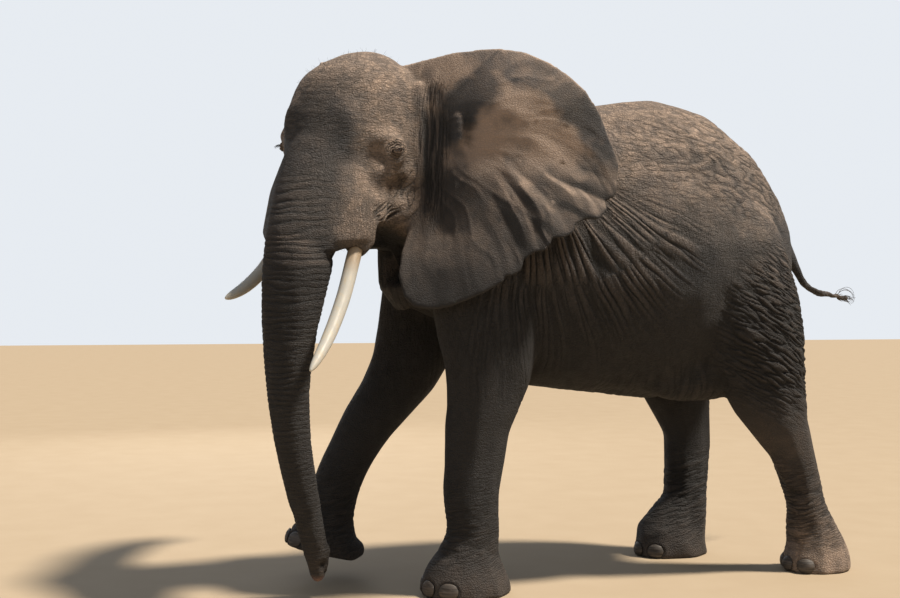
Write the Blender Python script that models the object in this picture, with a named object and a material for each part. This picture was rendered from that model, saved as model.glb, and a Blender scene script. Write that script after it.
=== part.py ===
"""A bull African bush elephant, life size, walking with its head turned to its left.

Frame: metres, +Z up. The elephant walks towards -Y, +X is its left side, and the
soles of its three standing feet lie in z = 0. The origin is the middle of the
bounding box's bottom.

The flesh is modelled whole, as round sections lofted along the limbs, fused and
smoothed. Thin cuts then part it into the named nodes. Eyes, tusks and nails are
solids of their own that sit in sockets in the flesh.
"""

import math
from typing import NamedTuple

import bmesh
import bpy
import numpy as np
from mathutils import Matrix, Vector

# Gaps, densities and thicknesses.
GAP = 0.0004  # between a piece and the socket that it sits in
SWELL = 0.0020  # how far the flesh is swollen before it trims a piece that grows from it
CUT = 0.0004  # width of a cut that parts the flesh
VOXEL = 0.022  # cell that the fused flesh is remeshed with
SMOOTHINGS = 8
FLESH_FACES = 3300
SECTION_SIDES = 24
SPAN_STEPS = 4

# The head: its crown stands over CROWN, and it is turned by HEAD_YAW to the left.
CROWN = Vector((0.08, -1.45, 0.0))
HEAD_YAW = math.radians(39)
HEAD_TILT = 0.10  # how much the head's left side hangs lower, per metre
NAPE_YAW = math.radians(20)  # the cut behind the head is turned less than the head
FORWARD = Vector((math.sin(HEAD_YAW), -math.cos(HEAD_YAW), 0.0))
LEFT = Vector((math.cos(HEAD_YAW), math.sin(HEAD_YAW), 0.0))

# Eyes, tusks and nails.
EYE_RADIUS = 0.024
EYE_AT = (0.115, 0.398, 2.475)  # forward, outward and up in the head's frame
TUSK_RADIUS = 0.041
TUSK_ROOT = (0.22, 0.245, 2.04)
TUSK_MOUTH = (0.32, 0.265, 1.905)
TUSK_TAPER = ((0.0, 1.0), (0.33, 0.97), (0.66, 0.88), (0.86, 0.68), (0.96, 0.42), (1.0, 0.16))
TUSK_BOW = (-0.035, 0.0, -0.03)
TUSK_REACH = {"left": (0.45, 0.07, -0.60), "right": (0.345, 0.070, -0.30)}
NAIL_SIZE = {"fore": (0.045, 0.016, 0.036), "hind": (0.041, 0.016, 0.034)}
NAIL_LIFT = 0.012  # from the sole to a nail's lower edge
NAIL_DEPTH = 0.007  # how far a nail's middle lies inside the foot's round
NAIL_TURNS = {"fore": (-62, -24, 14, 50), "hind": (-42, 0, 42)}

# Ears.
EAR_ROOT = (-0.14, 0.34)
EAR_BACK_TURN = {"left": math.radians(28), "right": math.radians(72)}
EAR_ROOT_THICKNESS = 0.040
EAR_RIM_THICKNESS = 0.014
EAR_RINGS = 4
EAR_SPOKES = 32


class Section(NamedTuple):
    """A round section: its middle, half its width across, and half its depth."""

    x: float
    y: float
    z: float
    wide: float
    deep: float


def in_head(forward, left, up):
    """The world place of a point given in the head's frame."""
    return CROWN + FORWARD * forward + LEFT * left + Vector((0, 0, up - HEAD_TILT * left))


def head_sections(rows):
    """Sections whose middles are given in the head's frame."""
    return [Section(*in_head(*row[:3]), *row[3:]) for row in rows]


# Torso: widths and depths of the barrel from the brisket to the rump.
TORSO = [
    Section(0.00, -1.19, 1.72, 0.14, 0.18),
    Section(0.00, -1.10, 1.80, 0.27, 0.42),
    Section(0.00, -0.95, 1.92, 0.39, 0.68),
    Section(0.00, -0.72, 1.98, 0.50, 0.80),
    Section(0.00, -0.40, 1.965, 0.58, 0.82),
    Section(0.00, -0.05, 1.950, 0.64, 0.855),
    Section(0.00, 0.28, 1.955, 0.67, 0.905),
    Section(0.00, 0.52, 1.950, 0.66, 0.91),
    Section(0.00, 0.78, 1.930, 0.56, 0.835),
    Section(0.00, 1.00, 1.910, 0.45, 0.70),
    Section(0.00, 1.18, 1.885, 0.33, 0.52),
    Section(0.00, 1.31, 1.865, 0.23, 0.35),
    Section(0.00, 1.39, 1.850, 0.12, 0.19),
]
NECK = [
    Section(0.00, -0.55, 2.18, 0.36, 0.58),
    Section(-0.01, -0.85, 2.22, 0.35, 0.54),
    Section(-0.03, -1.05, 2.32, 0.32, 0.47),
    Section(0.00, -1.22, 2.42, 0.30, 0.42),
]
THROAT = [
    Section(0.00, -0.95, 1.85, 0.30, 0.36),
    Section(0.02, -1.15, 1.98, 0.25, 0.28),
    Section(0.05, -1.32, 2.08, 0.20, 0.20),
]

# The head, in its own frame: forward, left, up, half width, half depth.
SKULL = [
    (-0.02, 0, 3.035, 0.07, 0.07),
    (-0.03, 0, 2.995, 0.19, 0.19),
    (-0.04, 0, 2.92, 0.285, 0.28),
    (-0.04, 0, 2.80, 0.350, 0.345),
    (-0.03, 0, 2.65, 0.375, 0.390),
    (-0.01, 0, 2.50, 0.370, 0.41),
    (0.02, 0, 2.35, 0.350, 0.40),
    (0.08, 0, 2.20, 0.315, 0.36),
    (0.16, 0, 2.06, 0.270, 0.29),
    (0.24, 0, 1.95, 0.220, 0.20),
]
JAW = [
    (-0.24, 0, 2.10, 0.23, 0.15),
    (-0.08, 0, 2.06, 0.21, 0.145),
    (0.08, 0, 1.97, 0.155, 0.115),
    (0.20, 0, 1.89, 0.095, 0.075),
    (0.28, 0, 1.83, 0.045, 0.04),
]
SHEATH = [
    (0.06, 0.20, 2.38, 0.12, 0.13),
    (0.16, 0.235, 2.18, 0.115, 0.12),
    (0.25, 0.255, 2.01, 0.092, 0.095),
    (0.315, 0.265, 1.910, 0.066, 0.066),
]
TRUNK = [
    (0.14, 0, 2.56, 0.22, 0.22),
    (0.27, 0, 2.34, 0.225, 0.21),
    (0.38, 0, 2.14, 0.205, 0.19),
    (0.47, 0, 1.92, 0.180, 0.175),
    (0.53, 0, 1.66, 0.155, 0.155),
    (0.555, 0, 1.36, 0.127, 0.127),
    (0.54, 0, 1.08, 0.110, 0.110),
    (0.49, -0.005, 0.84, 0.099, 0.100),
    (0.42, -0.01, 0.61, 0.089, 0.090),
    (0.335, -0.015, 0.38, 0.077, 0.078),
    (0.27, -0.02, 0.20, 0.068, 0.068),
    (0.235, -0.02, 0.105, 0.062, 0.060),
]
# Round masses of the head: forward, outward, up, then the three half sizes.
HEAD_LUMPS = [
    (0.10, 0.285, 2.530, 0.150, 0.105, 0.085),  # brow
    (0.06, 0.300, 2.350, 0.170, 0.100, 0.120),  # cheekbone
    (-0.14, 0.270, 2.200, 0.170, 0.120, 0.210),  # jaw muscle
    (-0.18, 0.280, 2.700, 0.160, 0.100, 0.260),  # base of the ear
]

# Legs: x, y, z, half width, half depth, from the body down to the sole.
FORE_LEFT = [
    Section(0.18, -0.64, 2.44, 0.12, 0.22),
    Section(0.33, -0.74, 2.02, 0.195, 0.31),
    Section(0.375, -0.76, 1.62, 0.195, 0.30),
    Section(0.385, -0.735, 1.28, 0.185, 0.262),
    Section(0.365, -0.765, 1.06, 0.172, 0.208),
    Section(0.350, -0.793, 0.90, 0.165, 0.185),
    Section(0.340, -0.812, 0.72, 0.155, 0.168),
    Section(0.335, -0.825, 0.55, 0.152, 0.160),
    Section(0.330, -0.817, 0.35, 0.148, 0.146),
    Section(0.326, -0.830, 0.21, 0.172, 0.182),
    Section(0.324, -0.848, 0.10, 0.212, 0.242),
    Section(0.324, -0.850, -0.03, 0.228, 0.262),
]
FORE_RIGHT = [
    Section(-0.18, -0.64, 2.44, 0.12, 0.22),
    Section(-0.335, -0.80, 2.02, 0.20, 0.30),
    Section(-0.385, -0.87, 1.62, 0.195, 0.285),
    Section(-0.380, -0.97, 1.30, 0.185, 0.238),
    Section(-0.370, -1.09, 1.10, 0.170, 0.192),
    Section(-0.355, -1.235, 0.92, 0.160, 0.162),
    Section(-0.345, -1.345, 0.74, 0.152, 0.145),
    Section(-0.340, -1.425, 0.58, 0.150, 0.143),
    Section(-0.335, -1.475, 0.40, 0.146, 0.142),
    Section(-0.332, -1.500, 0.30, 0.168, 0.172),
    Section(-0.330, -1.520, 0.21, 0.208, 0.225),
    Section(-0.330, -1.500, 0.09, 0.222, 0.245),
]
HIND_LEFT = [
    Section(0.20, 0.60, 2.32, 0.16, 0.24),
    Section(0.34, 0.76, 2.00, 0.225, 0.35),
    Section(0.380, 0.88, 1.62, 0.225, 0.36),
    Section(0.385, 0.98, 1.30, 0.200, 0.31),
    Section(0.375, 1.065, 1.06, 0.170, 0.250),
    Section(0.365, 1.145, 0.88, 0.147, 0.178),
    Section(0.360, 1.220, 0.72, 0.130, 0.137),
    Section(0.357, 1.275, 0.57, 0.124, 0.122),
    Section(0.357, 1.318, 0.42, 0.124, 0.120),
    Section(0.357, 1.352, 0.27, 0.136, 0.142),
    Section(0.357, 1.385, 0.16, 0.160, 0.183),
    Section(0.357, 1.397, 0.06, 0.180, 0.212),
    Section(0.357, 1.397, -0.03, 0.182, 0.214),
]
HIND_RIGHT = [
    Section(-0.20, 0.60, 2.32, 0.16, 0.24),
    Section(-0.34, 0.72, 2.00, 0.225, 0.35),
    Section(-0.385, 0.75, 1.62, 0.225, 0.37),
    Section(-0.390, 0.80, 1.30, 0.200, 0.325),
    Section(-0.375, 0.845, 1.06, 0.170, 0.240),
    Section(-0.365, 0.885, 0.90, 0.147, 0.182),
    Section(-0.358, 0.905, 0.74, 0.132, 0.155),
    Section(-0.354, 0.893, 0.54, 0.126, 0.146),
    Section(-0.351, 0.890, 0.36, 0.130, 0.152),
    Section(-0.351, 0.835, 0.20, 0.158, 0.208),
    Section(-0.351, 0.790, 0.10, 0.184, 0.245),
    Section(-0.351, 0.781, -0.03, 0.188, 0.250),
]
BACK_TAPER = 0.22
HIP_LUMP = (0.30, 0.54, 2.38, 0.20, 0.30, 0.24)
TAIL = [
    Section(0.00, 1.18, 2.22, 0.085, 0.080),
    Section(0.00, 1.36, 2.06, 0.065, 0.060),
    Section(0.00, 1.475, 1.88, 0.046, 0.042),
    Section(-0.02, 1.560, 1.765, 0.037, 0.034),
    Section(-0.08, 1.690, 1.705, 0.031, 0.029),
    Section(-0.18, 1.860, 1.685, 0.027, 0.025),
    Section(-0.28, 2.020, 1.670, 0.024, 0.022),
    Section(-0.345, 2.120, 1.665, 0.030, 0.021),
    Section(-0.375, 2.175, 1.662, 0.013, 0.012),
]

# The raised right fore foot: the middle of its sole, and the tilt of the toes.
RAISED_SOLE = Vector((-0.33, -1.515, 0.150))
RAISED_TILT = math.radians(14)

# The ear's outline about its root, as (back, up) from the top of the root down
# the front edge, round the lobe and back along the rear edge to the top.
EAR_OUTLINE = [
    (-0.08, 2.98), (-0.05, 2.60), (-0.04, 2.24), (-0.09, 2.02), (-0.14, 1.82),
    (-0.09, 1.65), (0.06, 1.615), (0.22, 1.66), (0.42, 1.75), (0.66, 1.91),
    (0.86, 2.05), (1.01, 2.14), (1.10, 2.35), (1.04, 2.58), (0.97, 2.76),
    (0.82, 2.92), (0.62, 3.03), (0.40, 3.05), (0.15, 3.03),
]  # fmt: skip
EAR_HEART = (0.30, 2.44)  # where the spokes of the ear's mesh meet


def spline(points, steps):
    """Points of a Catmull-Rom curve through the rows, with straight ends."""
    rows = np.array(points, float)
    ends = np.vstack([2 * rows[0] - rows[1], rows, 2 * rows[-1] - rows[-2]])
    out = []
    for a, b, c, d in zip(ends, ends[1:], ends[2:], ends[3:]):
        for k in range(steps):
            t = k / steps
            out.append(
                0.5 * (2 * b + (c - a) * t + (2 * a - 5 * b + 4 * c - d) * t**2
                       + (3 * b - a - 3 * c + d) * t**3)
            )  # fmt: skip
    out.append(rows[-1])
    return np.array(out)


def add_tube(
    bm, sections, across=Vector((1, 0, 0)), sides=SECTION_SIDES, steps=SPAN_STEPS, top_taper=0.0
):
    """Lofts a closed tube through the sections, each square to the tube's run.

    top_taper narrows the upper half of each section, as a ridged back does.
    """
    rows = spline(sections, steps)
    rings = []
    last_deep_way = Vector((0, 0, 1))
    for i, row in enumerate(rows):
        run = Vector(rows[min(i + 1, len(rows) - 1)][:3] - rows[max(i - 1, 0)][:3])
        wide_way = (across - run * (across.dot(run) / run.dot(run))).normalized()
        deep_way = run.cross(wide_way).normalized()
        if deep_way.dot(last_deep_way) < 0:
            deep_way.negate()
        last_deep_way = deep_way
        middle = Vector(row[:3])
        ring = []
        for k in range(sides):
            angle = math.tau * k / sides
            narrow = 1 - top_taper * max(0.0, math.sin(angle))
            side = wide_way * (row[3] * math.cos(angle) * narrow)
            ring.append(bm.verts.new(middle + side + deep_way * (row[4] * math.sin(angle))))
        rings.append(ring)
    for near, far in zip(rings, rings[1:]):
        for k in range(sides):
            n = (k + 1) % sides
            bm.faces.new((near[k], near[n], far[n], far[k]))
    bm.faces.new(rings[0])
    bm.faces.new(rings[-1])


def add_lump(bm, middle, sizes, turn=0.0, segments=20, rings=12):
    """Adds an ellipsoid with the half sizes, turned about the vertical."""
    place = Matrix.Translation(middle) @ Matrix.Rotation(turn, 4, "Z")
    bmesh.ops.create_uvsphere(
        bm, u_segments=segments, v_segments=rings, radius=1.0,
        matrix=place @ Matrix.Diagonal((*sizes, 1.0)),
    )  # fmt: skip


def new_object(name, bm, helper=False, turn_out=True):
    """Turns a bmesh into an object with outward faces; a helper isn't built."""
    if turn_out:
        bmesh.ops.recalc_face_normals(bm, faces=bm.faces)
    mesh = bpy.data.meshes.new(name)
    bm.to_mesh(mesh)
    bm.free()
    thing = bpy.data.objects.new(name, mesh)
    bpy.context.scene.collection.objects.link(thing)
    if helper:
        thing.hide_render = True
        thing.display_type = "WIRE"
    return thing


def settle(thing):
    """Makes the modifiers' result the object's own mesh."""
    bpy.context.view_layer.update()
    graph = bpy.context.evaluated_depsgraph_get()
    mesh = bpy.data.meshes.new_from_object(thing.evaluated_get(graph))
    thing.modifiers.clear()
    thing.data = mesh


def subtract(thing, cutter):
    """Cuts the cutter's shape out of the object."""
    cut = thing.modifiers.new("Cut", "BOOLEAN")
    cut.operation = "DIFFERENCE"
    cut.solver = "EXACT"
    cut.object = cutter
    settle(thing)


def loose_parts(thing):
    """The object's separate bodies, each as a bmesh, the largest first."""
    whole = bmesh.new()
    whole.from_mesh(thing.data)
    left = set(whole.verts)
    groups = []
    while left:
        front = [left.pop()]
        group = set(front)
        while front:
            for edge in front.pop().link_edges:
                for vert in edge.verts:
                    if vert in left:
                        left.discard(vert)
                        group.add(vert)
                        front.append(vert)
        groups.append(group)
    parts = []
    for group in sorted(groups, key=len, reverse=True):
        part = bmesh.new()
        copies = {vert: part.verts.new(vert.co) for vert in group}
        faces = {face for vert in group for face in vert.link_faces}
        for face in sorted(faces, key=lambda f: f.index):
            part.faces.new([copies[v] for v in face.verts])
        parts.append(part)
    whole.free()
    return parts


def flesh_mesh():
    """The whole animal but its ears, eyes, tusks and nails, fused and smoothed."""
    bm = bmesh.new()
    add_tube(bm, TORSO, top_taper=BACK_TAPER, sides=40)
    add_tube(bm, NECK, sides=32)
    add_tube(bm, THROAT)
    add_tube(bm, head_sections(SKULL), across=LEFT, sides=32)
    add_tube(bm, head_sections(TRUNK), across=LEFT)
    for side in (1, -1):
        sheath = [(f, side * out, up, a, b) for f, out, up, a, b in SHEATH]
        add_tube(bm, head_sections(sheath), across=LEFT)
        for f, out, up, *sizes in HEAD_LUMPS:
            middle = in_head(f, side * out, up)
            add_lump(bm, middle, (sizes[1], sizes[0], sizes[2]), turn=HEAD_YAW)
        add_lump(bm, (side * HIP_LUMP[0], *HIP_LUMP[1:3]), HIP_LUMP[3:])
    for leg in (FORE_LEFT, FORE_RIGHT, HIND_LEFT, HIND_RIGHT):
        add_tube(bm, leg)
    add_tube(bm, TAIL, sides=16)
    flesh = new_object("flesh", bm, helper=True)
    fuse = flesh.modifiers.new("Fuse", "REMESH")
    fuse.mode = "VOXEL"
    fuse.voxel_size = VOXEL
    relax = flesh.modifiers.new("Relax", "SMOOTH")
    relax.factor = 0.5
    relax.iterations = SMOOTHINGS
    settle(flesh)
    return flesh


def thin_out(flesh):
    """Decimates the flesh, the head and trunk less than the barrel of the body."""
    detail = flesh.vertex_groups.new(name="body")
    for vert in flesh.data.vertices:
        near_head = (vert.co - in_head(0.2, 0, vert.co.z)).length < 0.75
        fine = near_head or vert.co.y > TAIL[2].y
        detail.add([vert.index], 0.5 if fine else 1.0, "REPLACE")
    thin = flesh.modifiers.new("Thin", "DECIMATE")
    thin.vertex_group = "body"
    thin.vertex_group_factor = 1.0
    thin.ratio = FLESH_FACES / (2 * len(flesh.data.polygons))
    settle(flesh)
    flesh.vertex_groups.clear()


def block(name, middle, sizes, turn=None):
    """A box-shaped cutter with the full sizes."""
    bm = bmesh.new()
    place = Matrix.Translation(middle) @ (turn or Matrix.Identity(4))
    bmesh.ops.create_cube(bm, size=1.0, matrix=place @ Matrix.Diagonal((*sizes, 1.0)))
    return new_object(name, bm, helper=True)


def flatten_soles(flesh):
    """Cuts the standing feet flat at z = 0 and the raised foot along its sole."""
    deep = 0.5
    subtract(flesh, block("floor_cutter", (0, 0.2, -deep / 2), (3.0, 5.0, deep)))
    turn = Matrix.Rotation(-RAISED_TILT, 4, "X")
    middle = RAISED_SOLE + turn @ Vector((0, 0, -0.1))
    subtract(flesh, block("raised_sole_cutter", middle, (0.6, 0.62, 0.2), turn))


def tusk(side, grow=0.0):
    """A tusk that leaves its sheath forwards and down, with a slight upward curve."""
    sign = 1 if side == "left" else -1
    reach = TUSK_REACH[side]
    mouth = Vector(TUSK_MOUTH)
    root = Vector(TUSK_ROOT)
    root += (root - mouth).normalized() * grow
    rows = [(*root, TUSK_RADIUS * 0.95)]
    for t, shrink in TUSK_TAPER:
        at = mouth + Vector(reach) * t + Vector(TUSK_BOW) * (4 * t * (1 - t))
        rows.append((*at, TUSK_RADIUS * shrink))
    sections = [
        Section(*in_head(f, sign * out, up), r + grow, r + grow) for f, out, up, r in rows
    ]
    bm = bmesh.new()
    add_tube(bm, sections, across=LEFT, sides=12, steps=2)
    return new_object(f"tusk_{side}", bm, helper=grow > 0)


def eye(side, grow=0.0):
    """An eyeball."""
    sign = 1 if side == "left" else -1
    middle = in_head(EYE_AT[0], sign * EYE_AT[1], EYE_AT[2])
    bm = bmesh.new()
    add_lump(bm, middle, (EYE_RADIUS + grow,) * 3, turn=HEAD_YAW, segments=12, rings=8)
    return new_object(f"eye_{side}", bm, helper=grow > 0)


def nails(leg, pair, side, grow=0.0, raised=False):
    """The toenails round the front of a foot, as rounded plates."""
    rim = leg[-2]
    sizes = [s + grow for s in NAIL_SIZE[pair]]
    sign = 1 if side == "left" else -1
    made = []
    for i, degrees in enumerate(NAIL_TURNS[pair], 1):
        turn = math.radians(degrees) * sign
        across = math.sin(turn) * (rim.wide - NAIL_DEPTH)
        ahead = -math.cos(turn) * (rim.deep - NAIL_DEPTH)
        at = Vector((across, ahead, NAIL_SIZE[pair][2] + NAIL_LIFT))
        spin = Matrix.Rotation(turn, 4, "Z")
        if raised:
            tip = Matrix.Rotation(-RAISED_TILT, 4, "X")
            at = RAISED_SOLE + tip @ (at + Vector((0, rim.y - RAISED_SOLE.y, 0)))
            spin = tip @ spin
        else:
            at += Vector((rim.x, rim.y, 0.0))
        bm = bmesh.new()
        place = Matrix.Translation(at) @ spin @ Matrix.Diagonal((*sizes, 1.0))
        bmesh.ops.create_uvsphere(bm, u_segments=8, v_segments=4, radius=1.0, matrix=place)
        made.append(new_object(f"nail_{pair}_{side}_{i}", bm, helper=grow > 0))
    return made


FEET = (
    (FORE_LEFT, "fore", "left", False),
    (FORE_RIGHT, "fore", "right", True),
    (HIND_LEFT, "hind", "left", False),
    (HIND_RIGHT, "hind", "right", False),
)


def ear_point(side, back, up):
    """The place on the ear's middle surface, back from its root and up."""
    reach = max(0.0, back) / 1.1
    low = max(0.0, (2.45 - up) / 0.85)
    hang = min(1.0, max(0.0, (2.15 - up) / 0.25))  # below the root the ear hangs free
    free = max(hang, min(1.0, max(0.0, (back + 0.02) / 0.28)))
    out = 0.13 * math.sin(math.pi * min(1.0, reach)) + 0.20 * low**1.2 * free
    out += 0.015 * reach * math.sin(9.0 * math.atan2(up - 2.6, back + 0.2))
    out -= 0.05 * max(0.0, up - 2.8) / 0.2
    sign = 1 if side == "left" else -1
    turn = EAR_BACK_TURN[side]
    away = (math.cos(turn), -math.sin(turn))  # outward and forward parts of "back"
    front = (math.sin(turn), math.cos(turn))
    tuck = 0.06 * (2.95 - up) / 0.85  # the root runs outwards as it comes down
    forward = EAR_ROOT[0] + away[1] * back + front[1] * out
    outward = EAR_ROOT[1] + tuck + away[0] * back + front[0] * out
    level = HEAD_TILT * sign * (outward - EAR_ROOT[1])  # only the root hangs with the head
    return in_head(forward, sign * outward, up + level)


def ear(side):
    """An ear: a cupped sheet on spokes from its heart, thick at the root."""
    loop = EAR_OUTLINE + EAR_OUTLINE[:1]
    rim = spline(loop, 8)[:-1]
    picks = np.linspace(0, len(rim), EAR_SPOKES, endpoint=False).astype(int)
    rim = rim[picks]
    heart = np.array(EAR_HEART)
    grid = [[heart + (p - heart) * (k / EAR_RINGS) for p in rim] for k in range(1, EAR_RINGS + 1)]
    step = 0.002
    bm = bmesh.new()
    faces_of = {}
    for face_sign in (1, -1):
        def make(back, up, ring, face_sign=face_sign):
            at = ear_point(side, back, up)
            run = ear_point(side, back + step, up) - at
            rise = ear_point(side, back, up + step) - at
            normal = run.cross(rise).normalized()
            near_root = min(1.0, max(0.0, 1.0 - (back - 0.02) / 0.30))
            thick = EAR_RIM_THICKNESS + (EAR_ROOT_THICKNESS - EAR_RIM_THICKNESS) * near_root
            rounding = 0.72 if ring == EAR_RINGS else 1.0
            return bm.verts.new(at + normal * (face_sign * rounding * thick / 2))

        hub = make(*heart, 0)
        rings = [[make(*p, k) for p in row] for k, row in enumerate(grid, 1)]
        for k in range(EAR_SPOKES):
            n = (k + 1) % EAR_SPOKES
            bm.faces.new((hub, rings[0][k], rings[0][n]))
            for near, far in zip(rings, rings[1:]):
                bm.faces.new((near[k], far[k], far[n], near[n]))
        faces_of[face_sign] = rings[-1]
    for k in range(EAR_SPOKES):
        n = (k + 1) % EAR_SPOKES
        bm.faces.new((faces_of[1][k], faces_of[1][n], faces_of[-1][n], faces_of[-1][k]))
    return new_object(f"ear_{side}", bm)


def lower_jaw():
    """The lower jaw and its pointed lip, under the roots of trunk and tusks."""
    bm = bmesh.new()
    add_tube(bm, head_sections(JAW), across=LEFT, sides=16, steps=2)
    return new_object("lower_jaw", bm)


def fit_to_flesh(thing, flesh):
    """Cuts a piece back to the flesh that it grows from, with a gap."""
    bm = bmesh.new()
    bm.from_mesh(flesh.data)
    swollen = new_object("swollen_flesh", bm, helper=True)
    swell = swollen.modifiers.new("Swell", "DISPLACE")
    swell.strength = SWELL
    swell.mid_level = 0.0
    settle(swollen)
    subtract(thing, swollen)
    parts = loose_parts(thing)
    parts[0].to_mesh(thing.data)
    for part in parts:
        part.free()
    bpy.data.objects.remove(swollen)


def disc(name, middle, normal, radius):
    """A thin round cutter square to the normal."""
    bm = bmesh.new()
    turn = Vector(normal).to_track_quat("Z", "Y").to_matrix().to_4x4()
    bmesh.ops.create_cone(
        bm, cap_ends=True, segments=24, radius1=radius, radius2=radius, depth=CUT,
        matrix=Matrix.Translation(middle) @ turn,
    )  # fmt: skip
    return new_object(name, bm, helper=True)


def sheet(name, profile, origin, yaw, half_width, shift=0.0):
    """A thin bent cutter: a profile of (forward, up) drawn out sideways."""
    ahead = Vector((math.sin(yaw), -math.cos(yaw), 0))
    aside = Vector((math.cos(yaw), math.sin(yaw), 0))
    bm = bmesh.new()
    rows = []
    for forward, up in profile:
        at = origin + ahead * forward + Vector((0, 0, up))
        rows.append([bm.verts.new(at + aside * (shift + s * half_width)) for s in (-1, 1)])
    for (a, b), (c, d) in zip(rows, rows[1:]):
        bm.faces.new((a, b, d, c))
    thing = new_object(name, bm, helper=True)
    thicken = thing.modifiers.new("Thicken", "SOLIDIFY")
    thicken.thickness = CUT
    thicken.offset = 0.0
    thicken.use_even_offset = True
    settle(thing)
    return thing


def leg_cut(name, leg, section, radius, lean):
    """A thin disc across a leg at one of its sections, leaning sideways."""
    return disc(name, leg[section][:3], (lean, 0.0, 1.0), radius)


# Cut profiles as (forward, up), and the cuts across the legs as
# (joint, section, radius of the disc). The topmost one leans outwards.
NAPE = [(-0.44, 3.25), (-0.42, 2.50), (-0.34, 2.15), (-0.24, 1.93), (-0.08, 1.76), (0.02, 1.60)]
WITHERS = [(0.56, 3.05), (0.78, 2.45), (0.93, 2.05), (1.06, 1.74), (1.62, 1.66)]
TRUNK_CUTS = ((3, 0.34), (5, 0.22), (7, 0.20), (9, 0.16))
LEG_CUTS = {
    "fore": (("elbow", 4, 0.30), ("wrist", 7, 0.26), ("ankle", 9, 0.28)),
    "hind": (("knee", 4, 0.34), ("hock", 6, 0.24), ("ankle", 9, 0.28)),
}
TOP_CUT_TILT = 0.28


def cutters():
    """Every thin cutter that parts the flesh."""
    made = []
    # Behind the head, below the jaw's angle, and between neck and torso.
    made.append(sheet("nape_cutter", NAPE, CROWN, NAPE_YAW, 0.62))
    made.append(sheet("withers_cutter", WITHERS, Vector((0, 0, 0)), 0.0, 0.8))
    for i, (row, radius) in enumerate(TRUNK_CUTS, 1):
        a, b = head_sections(TRUNK[row - 1 : row + 1])
        run = Vector((b.x - a.x, b.y - a.y, b.z - a.z))
        made.append(disc(f"trunk_cutter_{i}", (b.x, b.y, b.z), run, radius))
    for leg, pair, side, _ in FEET:
        tilt = -TOP_CUT_TILT if side == "left" else TOP_CUT_TILT
        for joint, section, radius in LEG_CUTS[pair]:
            lean = tilt if section == 4 else 0.0
            made.append(leg_cut(f"{pair}_{side}_{joint}", leg, section, radius, lean))
    for i, row in ((1, 3), (2, 6)):
        a, b = TAIL[row], TAIL[row + 1]
        run = Vector((b.x - a.x, b.y - a.y, b.z - a.z))
        made.append(disc(f"tail_cutter_{i}", a[:3], run, 0.10))
    return made


def middle_of(sections, first, last):
    """The point halfway between two of the sections."""
    a, b = Vector(sections[first][:3]), Vector(sections[last][:3])
    return (a + b) / 2


def labels():
    """A point inside each node of flesh."""
    trunk = head_sections(TRUNK)
    found = {
        "head": in_head(0.0, 0, 2.55),
        "neck": Vector((-0.02, -1.05, 2.25)),
        "torso": Vector((0, 0.1, 1.95)),
        "trunk_upper": middle_of(trunk, 2, 4),
        "trunk_middle": middle_of(trunk, 5, 6),
        "trunk_lower": middle_of(trunk, 7, 8),
        "trunk_tip": middle_of(trunk, 9, 11),
        "tail_upper": Vector(TAIL[4][:3]),
        "tail_tuft": Vector(TAIL[7][:3]),
    }
    for side, leg in (("left", FORE_LEFT), ("right", FORE_RIGHT)):
        found[f"fore_leg_upper_{side}"] = middle_of(leg, 4, 7)
        found[f"fore_leg_lower_{side}"] = middle_of(leg, 7, 9)
        found[f"fore_foot_{side}"] = middle_of(leg, 10, 11)
    for side, leg in (("left", HIND_LEFT), ("right", HIND_RIGHT)):
        found[f"hind_leg_upper_{side}"] = middle_of(leg, 4, 6)
        found[f"hind_leg_lower_{side}"] = middle_of(leg, 6, 9)
        found[f"hind_foot_{side}"] = middle_of(leg, 9, 11)
    return found


def part_flesh(flesh):
    """Cuts the flesh into its nodes and names each by the label nearest its middle."""
    for cutter in cutters():
        subtract(flesh, cutter)
    parts = loose_parts(flesh)
    points = labels()
    for part in parts:
        low = Vector([min(v.co[i] for v in part.verts) for i in range(3)])
        high = Vector([max(v.co[i] for v in part.verts) for i in range(3)])
        middle = (low + high) / 2
        name = min(points, key=lambda n: (points[n] - middle).length)
        del points[name]
        new_object(name, part, turn_out=False)
    if points:
        raise ValueError(f"the cuts left no piece for {sorted(points)}")


def colour(thing, name, rgb, roughness):
    """Gives an object its own material."""
    finish = bpy.data.materials.new(name)
    finish.use_nodes = True
    shader = finish.node_tree.nodes["Principled BSDF"]
    shader.inputs["Base Color"].default_value = (*rgb, 1.0)
    shader.inputs["Roughness"].default_value = roughness
    thing.data.materials.clear()
    thing.data.materials.append(finish)


def centre_on_floor(things):
    """Moves all so that the origin is the middle of the bounding box's bottom."""
    points = np.array([v.co[:] for thing in things for v in thing.data.vertices])
    low, high = points.min(axis=0), points.max(axis=0)
    shift = Vector((-(low[0] + high[0]) / 2, -(low[1] + high[1]) / 2, 0.0))
    for thing in things:
        thing.data.transform(Matrix.Translation(shift))
    print("moved by", [round(c, 5) for c in shift])


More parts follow.
